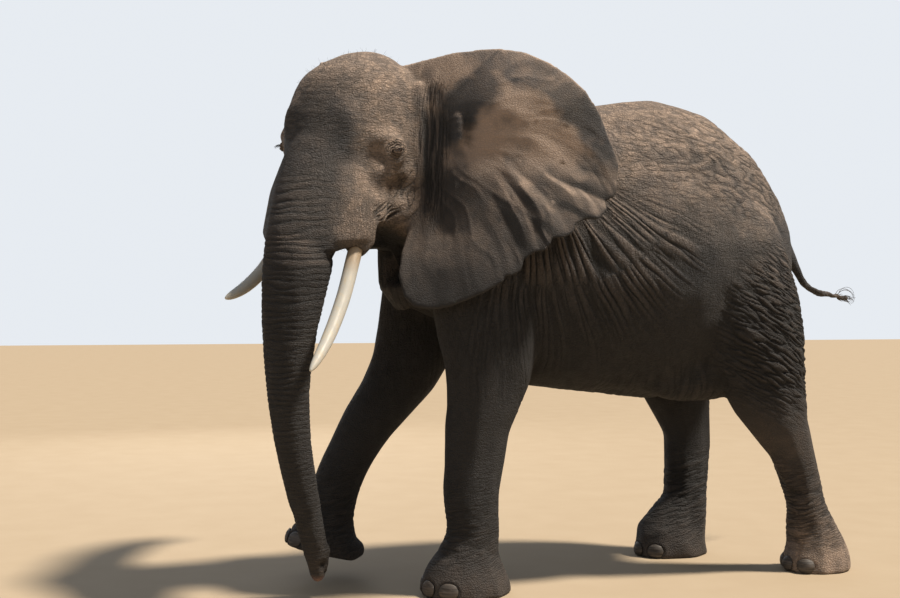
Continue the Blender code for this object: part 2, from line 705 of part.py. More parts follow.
def main():
    """Builds every node."""
    for thing in list(bpy.data.objects):
        bpy.data.objects.remove(thing)
    flesh = flesh_mesh()
    thin_out(flesh)
    flatten_soles(flesh)
    fit_to_flesh(lower_jaw(), flesh)
    for side in ("left", "right"):
        fit_to_flesh(ear(side), flesh)
    sockets = [tusk(side, GAP) for side in ("left", "right")]
    sockets += [eye(side, GAP) for side in ("left", "right")]
    for foot in FEET:
        sockets += nails(*foot[:3], grow=GAP, raised=foot[3])
    for socket in sockets:
        subtract(flesh, socket)
        bpy.data.objects.remove(socket)
    for side in ("left", "right"):
        tusk(side)
        eye(side)
    for foot in FEET:
        nails(*foot[:3], raised=foot[3])
    part_flesh(flesh)
    things = [t for t in bpy.data.objects if t.type == "MESH" and not t.hide_render]
    for thing in things:
        if thing.name.startswith("tusk"):
            colour(thing, f"ivory {thing.name}", (0.74, 0.68, 0.56), 0.4)
        elif thing.name.startswith("eye"):
            colour(thing, f"eye {thing.name}", (0.05, 0.025, 0.012), 0.1)
        elif thing.name.startswith("nail"):
            colour(thing, f"nail {thing.name}", (0.22, 0.19, 0.15), 0.6)
        else:
            colour(thing, f"hide {thing.name}", (0.13, 0.115, 0.10), 0.9)
    centre_on_floor(things)


main()
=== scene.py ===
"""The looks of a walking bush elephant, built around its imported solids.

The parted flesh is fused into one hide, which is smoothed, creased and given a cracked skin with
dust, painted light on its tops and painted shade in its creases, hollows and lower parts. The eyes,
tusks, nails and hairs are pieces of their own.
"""

import logging  # noqa: E402
import math  # noqa: E402
from dataclasses import dataclass, field  # noqa: E402
from enum import Enum  # noqa: E402

import bmesh  # noqa: E402
import bpy  # noqa: E402
import numpy as np  # noqa: E402
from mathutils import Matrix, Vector  # noqa: E402
from mathutils.bvhtree import BVHTree  # noqa: E402

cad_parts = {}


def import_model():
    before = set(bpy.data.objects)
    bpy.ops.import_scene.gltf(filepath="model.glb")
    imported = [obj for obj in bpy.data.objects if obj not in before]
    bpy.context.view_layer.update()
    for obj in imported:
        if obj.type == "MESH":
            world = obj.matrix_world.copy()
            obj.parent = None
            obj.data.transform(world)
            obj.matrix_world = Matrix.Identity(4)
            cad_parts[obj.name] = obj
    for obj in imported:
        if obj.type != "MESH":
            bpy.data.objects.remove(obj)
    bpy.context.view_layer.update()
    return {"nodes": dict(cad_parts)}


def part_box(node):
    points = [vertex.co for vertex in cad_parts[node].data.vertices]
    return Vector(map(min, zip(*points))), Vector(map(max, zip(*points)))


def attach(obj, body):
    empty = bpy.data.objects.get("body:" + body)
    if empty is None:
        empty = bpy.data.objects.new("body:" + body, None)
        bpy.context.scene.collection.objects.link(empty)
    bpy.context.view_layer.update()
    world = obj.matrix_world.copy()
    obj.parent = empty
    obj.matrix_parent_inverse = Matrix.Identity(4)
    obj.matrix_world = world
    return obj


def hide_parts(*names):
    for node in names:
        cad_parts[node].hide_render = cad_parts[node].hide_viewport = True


log = logging.getLogger("elephant")
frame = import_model()

Array = np.ndarray
Colour = tuple[float, float, float]
Socket = bpy.types.NodeSocket
NO_FOLD = 9.0  # a place against the nearest groove that is well away from any
UP = np.array([0.0, 0.0, 1.0])


class Slot(Enum):
    """The record's material slots."""

    HIDE = "hide"
    IVORY = "ivory"
    NAIL = "nail"
    EYE = "eye"


class Side(Enum):
    """The elephant's own left and right."""

    LEFT = 1.0
    RIGHT = -1.0


# --------------------------------------------------------------------------- numbers


def smooth(low: float, high: float, x: Array) -> Array:
    """Rises smoothly from 0 at low to 1 at high."""
    t = np.clip((x - low) / (high - low), 0.0, 1.0)
    return t * t * (3.0 - 2.0 * t)


def hill(x: Array, middle: float, width: float) -> Array:
    """A bell curve of height 1."""
    return np.exp(-(((x - middle) / width) ** 2))


def mound(p: Array, centre: tuple[float, float, float], reach: tuple[float, float, float]) -> Array:
    """A bell in space: 1 at its centre, and falling off over its reach on each axis."""
    q = (p - centre) / reach
    return np.exp(-np.sum(q * q, axis=1))


def unit(v: Array) -> Array:
    """The vectors of v at length 1."""
    return v / np.maximum(np.linalg.norm(v, axis=-1, keepdims=True), 1e-9)


def mirrored(local: Array) -> Array:
    """Points of the head's frame, with both its sides laid on its left."""
    return local * (1.0, 0.0, 1.0) + np.abs(local) * (0.0, 1.0, 0.0)


def scatter(i: Array, j: Array, k: Array, seed: int) -> Array:
    """A repeatable random whole number for each cell of space.

    Args:
        i, j, k: the cell's numbers.
        seed: another seed gives another pattern.

    Returns:
        Numbers of 32 bits.
    """
    mask = np.uint64(0xFFFFFFFF)
    h = (i.astype(np.uint64) * np.uint64(73856093)) ^ (j.astype(np.uint64) * np.uint64(19349663))
    h = (h ^ (k.astype(np.uint64) * np.uint64(83492791)) ^ np.uint64(seed * 7919 + 17)) & mask
    for factor in (2246822519, 3266489917):
        h = ((h ^ (h >> np.uint64(15))) * np.uint64(factor)) & mask
    return h ^ (h >> np.uint64(16))


def noise(p: Array, seed: int = 0) -> Array:
    """Smooth noise of about -1 to 1 that changes over a distance of 1.

    Args:
        p: points, already divided by the size that the noise is to have.
        seed: another seed gives another pattern.

    Returns:
        One number for each point.
    """
    cell = np.floor(p)
    f = p - cell
    u = f * f * f * (f * (f * 6.0 - 15.0) + 10.0)
    cell = cell.astype(np.int64) + 4096
    total = np.zeros(len(p))
    for corner in range(8):
        at = np.array([corner & 1, (corner >> 1) & 1, (corner >> 2) & 1])
        h = scatter(cell[:, 0] + at[0], cell[:, 1] + at[1], cell[:, 2] + at[2], seed)
        slope = [((h >> np.uint64(10 * axis)) & np.uint64(1023)).astype(float) / 511.5 - 1.0 for axis in range(3)]
        share = np.prod(np.where(at, u, 1.0 - u), axis=1)
        total += share * sum(slope[axis] * (f[:, axis] - at[axis]) for axis in range(3))
    return total * 1.5


# --------------------------------------------------------------------------- meshes


def deselect() -> None:
    """Leaves nothing selected, as the frame arrives selected."""
    if bpy.context.object and bpy.context.object.mode != "OBJECT":
        bpy.ops.object.mode_set(mode="OBJECT")
    bpy.ops.object.select_all(action="DESELECT")


def pick(piece: bpy.types.Object) -> None:
    """Makes piece the one that operators act on.

    Args:
        piece: the object.
    """
    deselect()
    piece.select_set(True)
    bpy.context.view_layer.objects.active = piece


def modify(piece: bpy.types.Object, kind: str, **settings: object) -> None:
    """Adds a modifier and applies it.

    Args:
        piece: the object.
        kind: the modifier's type.
        settings: its settings, by name.
    """
    pick(piece)
    modifier = piece.modifiers.new(kind.title(), kind)
    for name, value in settings.items():
        setattr(modifier, name, value)
    bpy.ops.object.modifier_apply(modifier=modifier.name)


def copy_nodes(nodes: list[str], name: str, grow: float = 0.0) -> bpy.types.Object:
    """Makes one new mesh of some CAD nodes.

    Args:
        nodes: the nodes' names.
        name: the new piece's name.
        grow: how far each is swollen, so that parted neighbours meet again, in metres.

    Returns:
        The new object, at the origin.
    """
    shape = bmesh.new()
    for node in nodes:
        part = bmesh.new()
        part.from_mesh(frame["nodes"][node].data)
        bmesh.ops.remove_doubles(part, verts=part.verts, dist=1e-5)
        part.normal_update()
        for vertex in part.verts:
            vertex.co += vertex.normal * grow
        spare = bpy.data.meshes.new("spare")
        part.to_mesh(spare)
        part.free()
        shape.from_mesh(spare)
        bpy.data.meshes.remove(spare)
    mesh = bpy.data.meshes.new(name)
    shape.to_mesh(mesh)
    shape.free()
    piece = bpy.data.objects.new(name, mesh)
    bpy.context.scene.collection.objects.link(piece)
    return piece


def places(piece: bpy.types.Object) -> Array:
    """The vertices' places.

    Args:
        piece: the object.

    Returns:
        One row for each vertex.
    """
    co = np.empty(len(piece.data.vertices) * 3)
    piece.data.vertices.foreach_get("co", co)
    return co.reshape(-1, 3)


def normals(piece: bpy.types.Object) -> Array:
    """The vertices' normals.

    Args:
        piece: the object.

    Returns:
        One row for each vertex.
    """
    out = np.empty(len(piece.data.vertices) * 3)
    piece.data.vertices.foreach_get("normal", out)
    return out.reshape(-1, 3)


def put(piece: bpy.types.Object, co: Array) -> None:
    """Moves the vertices to co."""
    piece.data.vertices.foreach_set("co", co.astype(np.float32).ravel())
    piece.data.update()


def links(piece: bpy.types.Object) -> Array:
    """The pairs of vertices that edges join.

    Args:
        piece: the object.

    Returns:
        One row for each edge.
    """
    ends = np.empty(len(piece.data.edges) * 2, np.int32)
    piece.data.edges.foreach_get("vertices", ends)
    return ends.reshape(-1, 2)


def spread(values: Array, ends: Array, rounds: int) -> Array:
    """Averages values over neighbours, again and again.

    Args:
        values: one row for each vertex.
        ends: the edges.
        rounds: how often.

    Returns:
        The softened values.
    """
    count = np.bincount(ends.ravel(), minlength=len(values)).astype(float) + 1.0
    columns = values.reshape(len(values), -1).copy()
    for _ in range(rounds):
        for c in range(columns.shape[1]):
            column = columns[:, c]
            total = np.bincount(ends[:, 0], column[ends[:, 1]], len(column))
            total += np.bincount(ends[:, 1], column[ends[:, 0]], len(column))
            columns[:, c] = (total + column) / count
    return columns.reshape(values.shape)


def drop_specks(piece: bpy.types.Object) -> None:
    """Keeps the largest island of the mesh and drops the specks that fusing leaves inside it.

    Args:
        piece: the object.
    """
    shape = bmesh.new()
    shape.from_mesh(piece.data)
    left, islands = set(shape.verts), []
    while left:
        island, rim = set(), {next(iter(left))}
        while rim:
            island |= rim
            rim = {edge.other_vert(vertex) for vertex in rim for edge in vertex.link_edges} - island
        left -= island
        islands.append(island)
    islands.sort(key=len)
    for specks in islands[:-1]:
        bmesh.ops.delete(shape, geom=list(specks), context="VERTS")
    shape.to_mesh(piece.data)
    shape.free()


def record(piece: bpy.types.Object, name: str, values: Array) -> None:
    """Keeps one number for each vertex, for the material to read."""
    layer = piece.data.attributes.new(name, "FLOAT", "POINT")
    layer.data.foreach_set("value", values.astype(np.float32))


def weigh(piece: bpy.types.Object, name: str, values: Array) -> None:
    """Makes a vertex group of the values, in twenty steps.

    Args:
        piece: the object.
        name: the group's name.
        values: a weight of 0 to 1 for each vertex.
    """
    group = piece.vertex_groups.new(name=name)
    steps = np.round(np.clip(values, 0.0, 1.0) * 20).astype(int)
    for step in np.unique(steps):
        group.add(np.nonzero(steps == step)[0].tolist(), float(step) / 20.0, "REPLACE")


def finish_piece(piece: bpy.types.Object, nodes: list[str]) -> bpy.types.Object:
    """Rides the piece on the body and hides the nodes that it stands for.

    Args:
        piece: the object.
        nodes: the CAD nodes that it replaces.

    Returns:
        The same object.
    """
    for polygon in piece.data.polygons:
        polygon.use_smooth = True
    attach(piece, "root")
    if nodes:
        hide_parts(*nodes)
    log.info("%s: %d faces", piece.name, len(piece.data.polygons))
    return piece


# --------------------------------------------------------------------------- landmarks


@dataclass
class Head:
    """The turned head's own frame, found from the eyes."""

    tilt: float = 0.10
    eye_forward: float = 0.115

    def __post_init__(self) -> None:
        """Finds the axes."""
        self.eyes = {side: self.middle(f"eye_{side.name.lower()}") for side in Side}
        across = self.eyes[Side.LEFT] - self.eyes[Side.RIGHT]
        self.left = unit(np.array([across[0], across[1], 0.0]))
        self.forward = np.array([self.left[1], -self.left[0], 0.0])
        mean = (self.eyes[Side.LEFT] + self.eyes[Side.RIGHT]) / 2
        self.origin = mean - self.forward * self.eye_forward
        self.origin[2] = 0.0

    def look(self, side: Side) -> Array:
        """The way an eye looks: out to its side and somewhat ahead."""
        return unit(self.left * side.value + self.forward * 0.55 + np.array([0.0, 0.0, -0.06]))

    @staticmethod
    def middle(node: str) -> Array:
        """The middle of a CAD node's box."""
        low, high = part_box(node)
        return np.array((low + high) / 2)

    def local(self, p: Array) -> Array:
        """Points as (forward, left, up) of the head.

        Args:
            p: points of the shared frame.

        Returns:
            One row for each point.
        """
        q = p - self.origin
        left = q @ self.left
        return np.column_stack([q @ self.forward, left, q[:, 2] + self.tilt * left])

    def paired(self, p: Array) -> Array:
        """Points as (forward, outward, up), the same for both sides of the head."""
        return mirrored(self.local(p))

    def world(self, forward: float, left: float, up: float) -> Array:
        """A point of the head in the shared frame."""
        z = up - self.tilt * left
        return self.origin + self.forward * forward + self.left * left + UP * z


@dataclass
class Limb:
    """A column of flesh that stands or hangs: where its middle is at each height."""

    nodes: list[str]
    bins: int = 28

    def __post_init__(self) -> None:
        """Measures the nodes in slices."""
        co = np.concatenate([places(frame["nodes"][n]) for n in self.nodes])
        self.low, self.high = co[:, 2].min(), co[:, 2].max()
        edges = np.linspace(self.low, self.high, self.bins + 1)
        rows = []
        for a, b in zip(edges, edges[1:]):
            part = co[(co[:, 2] >= a - 0.02) & (co[:, 2] <= b + 0.02)]
            if len(part) > 3:
                mid = (part.min(0) + part.max(0)) / 2
                rows.append([(a + b) / 2, mid[0], mid[1], np.ptp(part[:, :2], axis=0).mean() / 2])
        self.rows = np.array(rows)

    def around(self, p: Array) -> tuple[Array, Array, Array]:
        """Where points lie round the limb.

        Args:
            p: the points.

        Returns:
            The offsets from the middle in x and y, and the limb's radius there.
        """
        x, y, r = (np.interp(p[:, 2], self.rows[:, 0], self.rows[:, c]) for c in (1, 2, 3))
        return p[:, 0] - x, p[:, 1] - y, r


# --------------------------------------------------------------------------- the hide

LEGS = [f"{part}_{side}" for part in ("fore_leg_upper", "fore_leg_lower", "fore_foot", "hind_leg_upper",
                                      "hind_leg_lower", "hind_foot") for side in ("left", "right")]
TRUNK = ["trunk_upper", "trunk_middle", "trunk_lower", "trunk_tip"]
FLESH = ["head", "lower_jaw", "neck", "torso", *TRUNK, *LEGS, "tail_upper", "tail_tuft", "ear_left", "ear_right"]
UNDER = ["eye_left", "eye_right", *(f"nail_fore_{s}_{n}" for s in ("left", "right") for n in range(1, 5)),
         *(f"nail_hind_{s}_{n}" for s in ("left", "right") for n in range(1, 4))]
ZONES = {
    "head": ["head", "lower_jaw"],
    "neck": ["neck"],
    "torso": ["torso"],
    "trunk": TRUNK,
    "fore": [n for n in LEGS if n.startswith("fore_leg")],
    "hind": [n for n in LEGS if n.startswith("hind_leg")],
    "feet": [n for n in LEGS if "foot" in n],
    "tail": ["tail_upper", "tail_tuft"],
    "ear_left": ["ear_left"],
    "ear_right": ["ear_right"],
}


@dataclass(frozen=True)
class Folds:
    """One patch of skin folds: where it lies, which way it is creased and how deep."""

    zones: dict[str, float]
    centre: tuple[float, float, float]
    reach: tuple[float, float, float]
    across: tuple[float, float, float]
    spacing: float
    run: float
    depth: float
    width: float = 0.22
    seed: int = 1
    on_head: bool = False

    def lines(self, p: Array, local: Array, zone: dict[str, Array]) -> "Lines":
        """Where the folds of this patch run.

        Args:
            p: the skin's points.
            local: the same points in the head's frame, for a patch that lies on both its sides.
            zone: how much of each zone a point belongs to.

        Returns:
            The folds.
        """
        if self.on_head:
            p = mirrored(local)
        share = sum(amount * zone[name] for name, amount in self.zones.items())
        q = (p - np.array(self.centre)) / np.array(self.reach)
        share = share * smooth(1.0, 0.45, np.linalg.norm(q, axis=1))
        signed = np.full(len(p), NO_FOLD)
        near = share > 0.01
        across = unit(np.array(self.across))
        along = unit(np.cross(across, (0.31, 0.83, 0.47)))
        third = np.cross(across, along)
        q = p[near]
        warp = np.column_stack([noise(q / (3 * self.spacing), s) for s in (51, 52, 53)])
        q = q + 0.30 * self.spacing * warp
        q = np.column_stack([q @ across, (q @ along) / self.run, (q @ third) / self.run]) / self.spacing
        signed[near] = noise(q, self.seed) / self.width
        return Lines(signed, share, self.depth)


@dataclass
class Lines:
    """A family of folds: its place against the nearest groove, 0 in it, how much it shows and how deep it is."""

    signed: Array
    share: Array
    depth: float

    def height(self) -> Array:
        """How far the skin stands out: narrow grooves with rounded skin between them."""
        rise = 0.35 * np.minimum(1.0, np.abs(self.signed) / 3.0) - np.exp(-(self.signed**2))
        return rise * self.depth * self.share


@dataclass(frozen=True)
class Block:
    """A flat-sided form fused into the head, on both its sides."""

    corners: tuple[tuple[float, float, float], ...]
    paired: bool = True

    def build(self, head: Head, side: Side) -> bpy.types.Object:
        """Makes the block that just holds its corners.

        Args:
            head: whose frame the corners are in.
            side: which side of the head.

        Returns:
            A closed shape.
        """
        shape = bmesh.new()
        for forward, left, up in self.corners:
            shape.verts.new(head.world(forward, left * side.value, up))
        bmesh.ops.convex_hull(shape, input=shape.verts)
        bmesh.ops.recalc_face_normals(shape, faces=shape.faces)
        mesh = bpy.data.meshes.new("block")
        shape.to_mesh(mesh)
        shape.free()
        piece = bpy.data.objects.new("block", mesh)
        bpy.context.scene.collection.objects.link(piece)
        return piece


@dataclass(frozen=True)
class Dent:
    """A hollow, or below 0 a swelling: on both sides of the head, or once elsewhere."""

    centre: tuple[float, float, float]
    reach: tuple[float, float, float]
    depth: float
    zone: str = "head"

    def height(self, p: Array, head: Head, zone: dict[str, Array]) -> Array:
        """How far the skin stands out.

        Args:
            p: the skin's points.
            head: whose frame a dent of the head is in.
            zone: how much of each zone a point belongs to.

        Returns:
            A height for each point.
        """
        at = head.paired(p) if self.zone == "head" else p
        share = zone[self.zone]
        if self.zone == "head":
            share = np.clip(share + 0.5 * (zone["ear_left"] + zone["ear_right"]), 0.0, 1.0)
        return -self.depth * mound(at, self.centre, self.reach) * share


@dataclass(frozen=True)
class Lump:
    """A rounded swelling fused into the flesh: on both sides of the head, or once elsewhere."""

    centre: tuple[float, float, float]
    radii: tuple[float, float, float]
    on_head: bool = True
    paired: bool = True

    def build(self, head: Head, side: Side) -> bpy.types.Object:
        """Makes the lump.

        Args:
            head: whose frame the centre and radii are in.
            side: which side of the head.

        Returns:
            A closed ball, at the origin, with its place in its mesh.
        """
        deselect()
        bpy.ops.mesh.primitive_uv_sphere_add(segments=24, ring_count=16, radius=1.0)
        ball = bpy.context.object
        forward, left, up = self.centre
        at, axes = np.array(self.centre), np.eye(3)
        if self.on_head:
            at = head.world(forward, left * side.value, up)
            axes = np.column_stack([head.forward, head.left, UP])
        put(ball, (places(ball) * self.radii) @ axes.T + at)
        return ball


@dataclass
class Lids:
    """The eyelids and the folds round one eye."""

    head: Head
    side: Side
    half_width: float = 0.0225
    upper: float = 0.0125
    lower: float = 0.0095
    ball: float = 0.024
    lid: float = 0.0055
    over_folds: tuple = ((0.007, 0.0034, 0.0026), (0.020, 0.0046, 0.0036), (0.034, 0.0050, 0.0040),
                         (0.049, 0.0040, 0.0046))
    under_folds: tuple = ((0.008, 0.0026, 0.0022), (0.018, 0.0032, 0.0034), (0.032, 0.0032, 0.0045),
                          (0.048, 0.0026, 0.0050))

    def __post_init__(self) -> None:
        """Finds the eye's axes."""
        self.look = self.head.look(self.side)
        self.rise = unit(UP - self.look * (UP @ self.look))
        fore = np.cross(self.rise, self.look)
        self.fore = fore * np.sign(fore @ self.head.forward)

    def plane(self, co: Array) -> tuple[Array, Array, Array]:
        """Points as forward, upward and outward of the eye."""
        q = co - self.head.eyes[self.side]
        return q @ self.fore, q @ self.rise, q @ self.look

    def gap(self, a: Array, b: Array) -> Array:
        """How far outside the opening between the lids a point lies, below 0 within it.

        Args:
            a: places forward of the eye.
            b: places above it.

        Returns:
            The distances, in metres.
        """
        b = b + 0.16 * a
        bow = np.maximum(1.0 - (a / self.half_width) ** 2, 0.0)
        over = np.maximum(b - self.upper * bow, -b - self.lower * bow)
        beyond = np.maximum(np.abs(a) - self.half_width, 0.0)
        return np.where(beyond > 0.0, np.hypot(beyond, b), over)

    def lines(self, co: Array) -> Lines:
        """The folds round the eye, for the material.

        Args:
            co: the skin's points.

        Returns:
            The folds.
        """
        a, b, _ = self.plane(co)
        e, rho = self.gap(a, b), np.hypot(a, b)
        folds = np.where(b[:, None] > -0.006, [f[0] for f in self.over_folds], [f[0] for f in self.under_folds])
        away = (e[:, None] - folds - self.wave(co)[:, None]) / 0.0032
        near = np.argmin(np.abs(away), axis=1)
        signed = away[np.arange(len(co)), near]
        close = np.linalg.norm(co - self.head.eyes[self.side], axis=1) < 0.11
        return Lines(signed, smooth(0.088, 0.058, rho) * close * (0.5 + 0.5 * smooth(-0.02, 0.0, b)), 0.0055)

    def wave(self, co: Array) -> Array:
        """How the folds stray from even arcs."""
        return 0.0016 * noise((co - self.head.eyes[self.side]) / 0.025, 7)

    def shape(self, skin: bpy.types.Object) -> None:
        """Raises the lids over the ball, opens them and cuts their folds.

        Args:
            skin: the hide.
        """
        for radius in (0.088, 0.048):
            refine(skin, self.head.eyes[self.side], radius)
        co = places(skin)
        a, b, h = self.plane(co)
        rho = np.hypot(a, b)
        near = (rho < 0.13) & (np.abs(h) < 0.10)
        a, b, h, rho = a[near], b[near], h[near], rho[near]
        ring = (rho > 0.055) & (rho < 0.085)
        rows = np.column_stack([np.ones(len(a)), a, b])
        base = rows @ np.linalg.lstsq(rows[ring], h[ring], rcond=None)[0]
        e = self.gap(a, b)
        rounded = base + 0.009 * np.exp(-((rho / 0.045) ** 2))
        shell = np.sqrt(np.maximum((self.ball + self.lid) ** 2 - rho**2, 0.0))
        level = 0.004 * np.log(np.exp(rounded / 0.004) + np.exp(shell / 0.004))
        share = smooth(0.105, 0.050, rho)
        level = h * (1.0 - share) + level * share
        lifted = smooth(-0.018, 0.006, b)
        wave = self.wave(co[near])
        fade = smooth(0.085, 0.055, rho)
        for at, deep, width in self.over_folds:
            level -= deep * hill(e, at + wave, width) * lifted * fade
        for at, deep, width in self.under_folds:
            level -= deep * hill(e, at + wave, width) * (1.0 - lifted) * fade
        level += 0.0014 * hill(e, 0.0024, 0.0020)
        inside = smooth(0.0008, -0.0012, e)
        level = level * (1.0 - inside) + (self.ball - 0.012) * inside
        co[near] += self.look * (level - h)[:, None]
        put(skin, co)


def refine(piece: bpy.types.Object, centre: Array, radius: float) -> None:
    """Halves the edges near a point.

    Args:
        piece: the object.
        centre: the point.
        radius: how near.
    """
    shape = bmesh.new()
    shape.from_mesh(piece.data)
    middle = Vector(centre)
    chosen = {e for v in shape.verts if (v.co - middle).length < radius for e in v.link_edges}
    bmesh.ops.subdivide_edges(shape, edges=list(chosen), cuts=1, use_grid_fill=True)
    bmesh.ops.triangulate(shape, faces=[f for f in shape.faces if len(f.verts) > 4])
    shape.to_mesh(piece.data)
    shape.free()


@dataclass
class Claw:
    """Where one toenail sits: its middle on the foot, the way out and its half width and height."""

    node: str
    depth: float = 0.08

    def __post_init__(self) -> None:
        """Measures the CAD nail against its foot."""
        low, high = (np.array(v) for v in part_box(self.node))
        _, limb, side, _ = self.node.split("_")
        foot_low, foot_high = (np.array(v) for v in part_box(f"{limb}_foot_{side}"))
        self.middle = (low + high) / 2
        out = (self.middle - (foot_low + foot_high) / 2) * (1.0, 1.0, 0.0)
        self.out = unit(out)
        self.side = np.array([-self.out[1], self.out[0], 0.0])
        self.half = 0.56 * np.abs((high - low) @ np.abs(self.side))
        self.tall = 0.54 * (high[2] - low[2])

    def disc(self, p: Array) -> tuple[Array, Array, Array]:
        """Points across, up and out from the nail's middle, the first two as shares of its size."""
        q = p - self.middle
        return (q @ self.side) / self.half, q[:, 2] / self.tall, q @ self.out

    def rim(self, p: Array) -> Array:
        """How far out a point lies on the nail: 1 at its rim, and a lot where it isn't near the nail."""
        a, b, h = self.disc(p)
        return np.hypot(a, b) + NO_FOLD * (np.abs(h) > self.depth)


@dataclass
class Hide:
    """The whole skin, from the trunk's tip to the tail's, as one piece."""

    voxel: float = 0.0075
    swell: float = 0.0016
    faces: int = 182_000
    softening: int = 70
    fan_root: tuple[float, float] = (-0.44, 2.60)
    fan_pitches: tuple[float, float] = (0.032, 0.024)
    fan_depth: float = 0.0105
    ring_pitch: float = 0.0165
    ring_growth: float = 0.0115
    ring_depth: float = 0.0040
    pleat_heights: tuple[float, float, float] = (0.011, 0.016, 0.008)
    notch_depth: float = 0.040
    head: Head = field(default_factory=Head)
    folds: list[Folds] = field(default_factory=list)
    lumps: list[Lump | Block] = field(default_factory=list)
    dents: list[Dent] = field(default_factory=list)
    claws: list[Claw] = field(default_factory=list)

    def build(self) -> bpy.types.Object:
        """Fuses, softens, creases and thins the hide.

        Returns:
            The finished skin.
        """
        self.solids = copy_nodes(FLESH, "hide_solids")
        self.skin = copy_nodes([*FLESH, *UNDER], "hide", self.swell)
        forms = [
            form.build(self.head, side) for form in self.lumps for side in Side if form.paired or side is Side.LEFT
        ]
        pick(self.skin)
        for form in forms:
            form.select_set(True)
        bpy.ops.object.join()
        modify(self.skin, "REMESH", mode="VOXEL", voxel_size=self.voxel * 1.0)
        self.ends = links(self.skin)
        self.zone = self.zones()
        self.soften()
        self.sculpt()
        self.thin()
        self.lids = [Lids(self.head, side) for side in Side]
        for lids in self.lids:
            lids.shape(self.skin)
        self.zone = self.zones()
        log.info("triangles: %d", sum(len(p.vertices) - 2 for p in self.skin.data.polygons))
        self.mark()
        bpy.data.objects.remove(self.solids)
        co = places(self.skin)
        put(self.skin, np.column_stack([co[:, :2], np.maximum(co[:, 2], 0.0)]))
        return finish_piece(self.skin, FLESH)

    def zones(self) -> dict[str, Array]:
        """How much of each zone every vertex belongs to, blended over the borders.

        Returns:
            The shares, by the zone's name.
        """
        tree = BVHTree.FromPolygons(
            [v.co for v in self.solids.data.vertices], [p.vertices for p in self.solids.data.polygons]
        )
        owner = np.concatenate(
            [np.full(len(frame["nodes"][n].data.polygons), i) for i, n in enumerate(FLESH)]
        )
        co = places(self.skin)
        nearest = np.array([tree.find_nearest(p)[2] for p in co])
        node = owner[np.minimum(nearest, len(owner) - 1)]
        ends = links(self.skin)
        found = {}
        for name, members in ZONES.items():
            inside = np.isin(node, [FLESH.index(m) for m in members]).astype(float)
            found[name] = spread(inside, ends, 8)
        return found

    def soften(self) -> None:
        """Rounds off the solids' facets, most on the big forms and least on the thin ones."""
        z = self.zone
        loose = z["torso"] + z["neck"] + 0.6 * (z["fore"] + z["hind"]) + 0.55 * z["head"]
        loose += 0.45 * z["trunk"] + 0.3 * z["feet"] + 0.12 * z["tail"]
        local = self.head.local(places(self.skin))
        behind = hill(np.abs(local[:, 1]), 0.42, 0.10) * hill(local[:, 0], -0.11, 0.10)
        loose += 0.9 * behind * smooth(1.95, 2.1, local[:, 2]) * smooth(2.95, 2.8, local[:, 2])
        paired = self.head.paired(places(self.skin))
        loose *= 1.0 - 0.75 * mound(paired, (0.36, 0.27, 2.0), (0.17, 0.17, 0.25))
        weigh(self.skin, "loose", np.clip(loose, 0.1, 1.0))
        modify(self.skin, "SMOOTH", factor=1.0, iterations=self.softening, vertex_group="loose")
        modify(self.skin, "SMOOTH", factor=0.5, iterations=4)
        self.skin.vertex_groups.clear()

    def sculpt(self) -> None:
        """Shapes and creases the skin."""
        self.tuck()
        co, nor = places(self.skin), normals(self.skin)
        local = self.head.local(co)
        height = self.swellings(co) + 0.008 * self.zone["tail"] * smooth(1.60, 1.75, co[:, 1])
        for dent in self.dents:
            height += dent.height(co, self.head, self.zone)
        for lines in self.families(co, nor, local):
            height += lines.height()
        for claw in self.claws:
            rim = claw.rim(co)
            height += 0.003 * hill(rim, 1.5, 0.25) - 0.003 * hill(rim, 1.12, 0.13)
        shift = nor * height[:, None]
        for side in Side:
            rise, away = self.pleats(co, side)
            _, facing, _, _ = self.ear_frame(side)
            shift += facing * rise[:, None] + away
        put(self.skin, co + shift)

    def ears(self) -> Array:
        """How much of either ear a vertex belongs to."""
        return self.zone["ear_left"] + self.zone["ear_right"]

    def tuck(self) -> None:
        """Draws the throat and the mouth's corner in behind the tusks' sheaths, and widens the trunk's top."""
        co = places(self.skin)
        local = self.head.local(co)
        forward, left, up = local.T
        flesh = self.zone["head"] + self.zone["neck"]
        share = flesh * smooth(0.225, 0.175, forward) * smooth(-0.52, -0.24, forward)
        narrow = share * smooth(2.09, 2.01, up) * smooth(1.62, 1.76, up)
        back = np.interp(up, (1.64, 1.74, 1.80, 1.86, 1.97, 2.06), (0.0, 0.045, 0.10, 0.165, 0.165, 0.0))
        shift = -self.head.left * (0.42 * left * narrow)[:, None]
        shift -= self.head.forward * (back * share)[:, None]
        chin = self.zone["head"] * smooth(0.26, 0.21, forward)
        chin = chin * smooth(0.25, 0.19, np.abs(left)) * smooth(-0.34, -0.22, forward)
        shift[:, 2] += chin * 0.75 * np.maximum(1.955 - up, 0.0)
        z = co[:, 2]
        wide = np.interp(z, (1.00, 1.15, 1.35, 1.62, 1.80, 1.95), (0.0, 0.012, 0.030, 0.045, 0.050, 0.0))
        shift += self.head.left * (self.zone["trunk"] * wide * smooth(0.0, 0.14, left))[:, None]
        put(self.skin, co + spread(shift, self.ends, 6))

    def swellings(self, p: Array) -> Array:
        """Slow swellings of muscle and bone under the skin."""
        body = self.zone["torso"] + self.zone["neck"] + 0.5 * (self.zone["fore"] + self.zone["hind"])
        return (0.007 * noise(p / 0.34, 3) + 0.004 * noise(p / 0.16, 4)) * body + 0.003 * self.ears()

    def families(self, co: Array, nor: Array, local: Array) -> list[Lines]:
        """All the families of folds at the given points."""
        found = [patch.lines(co, local, self.zone) for patch in self.folds]
        return [*found, *self.fan(co, nor), self.rings(co, local)]

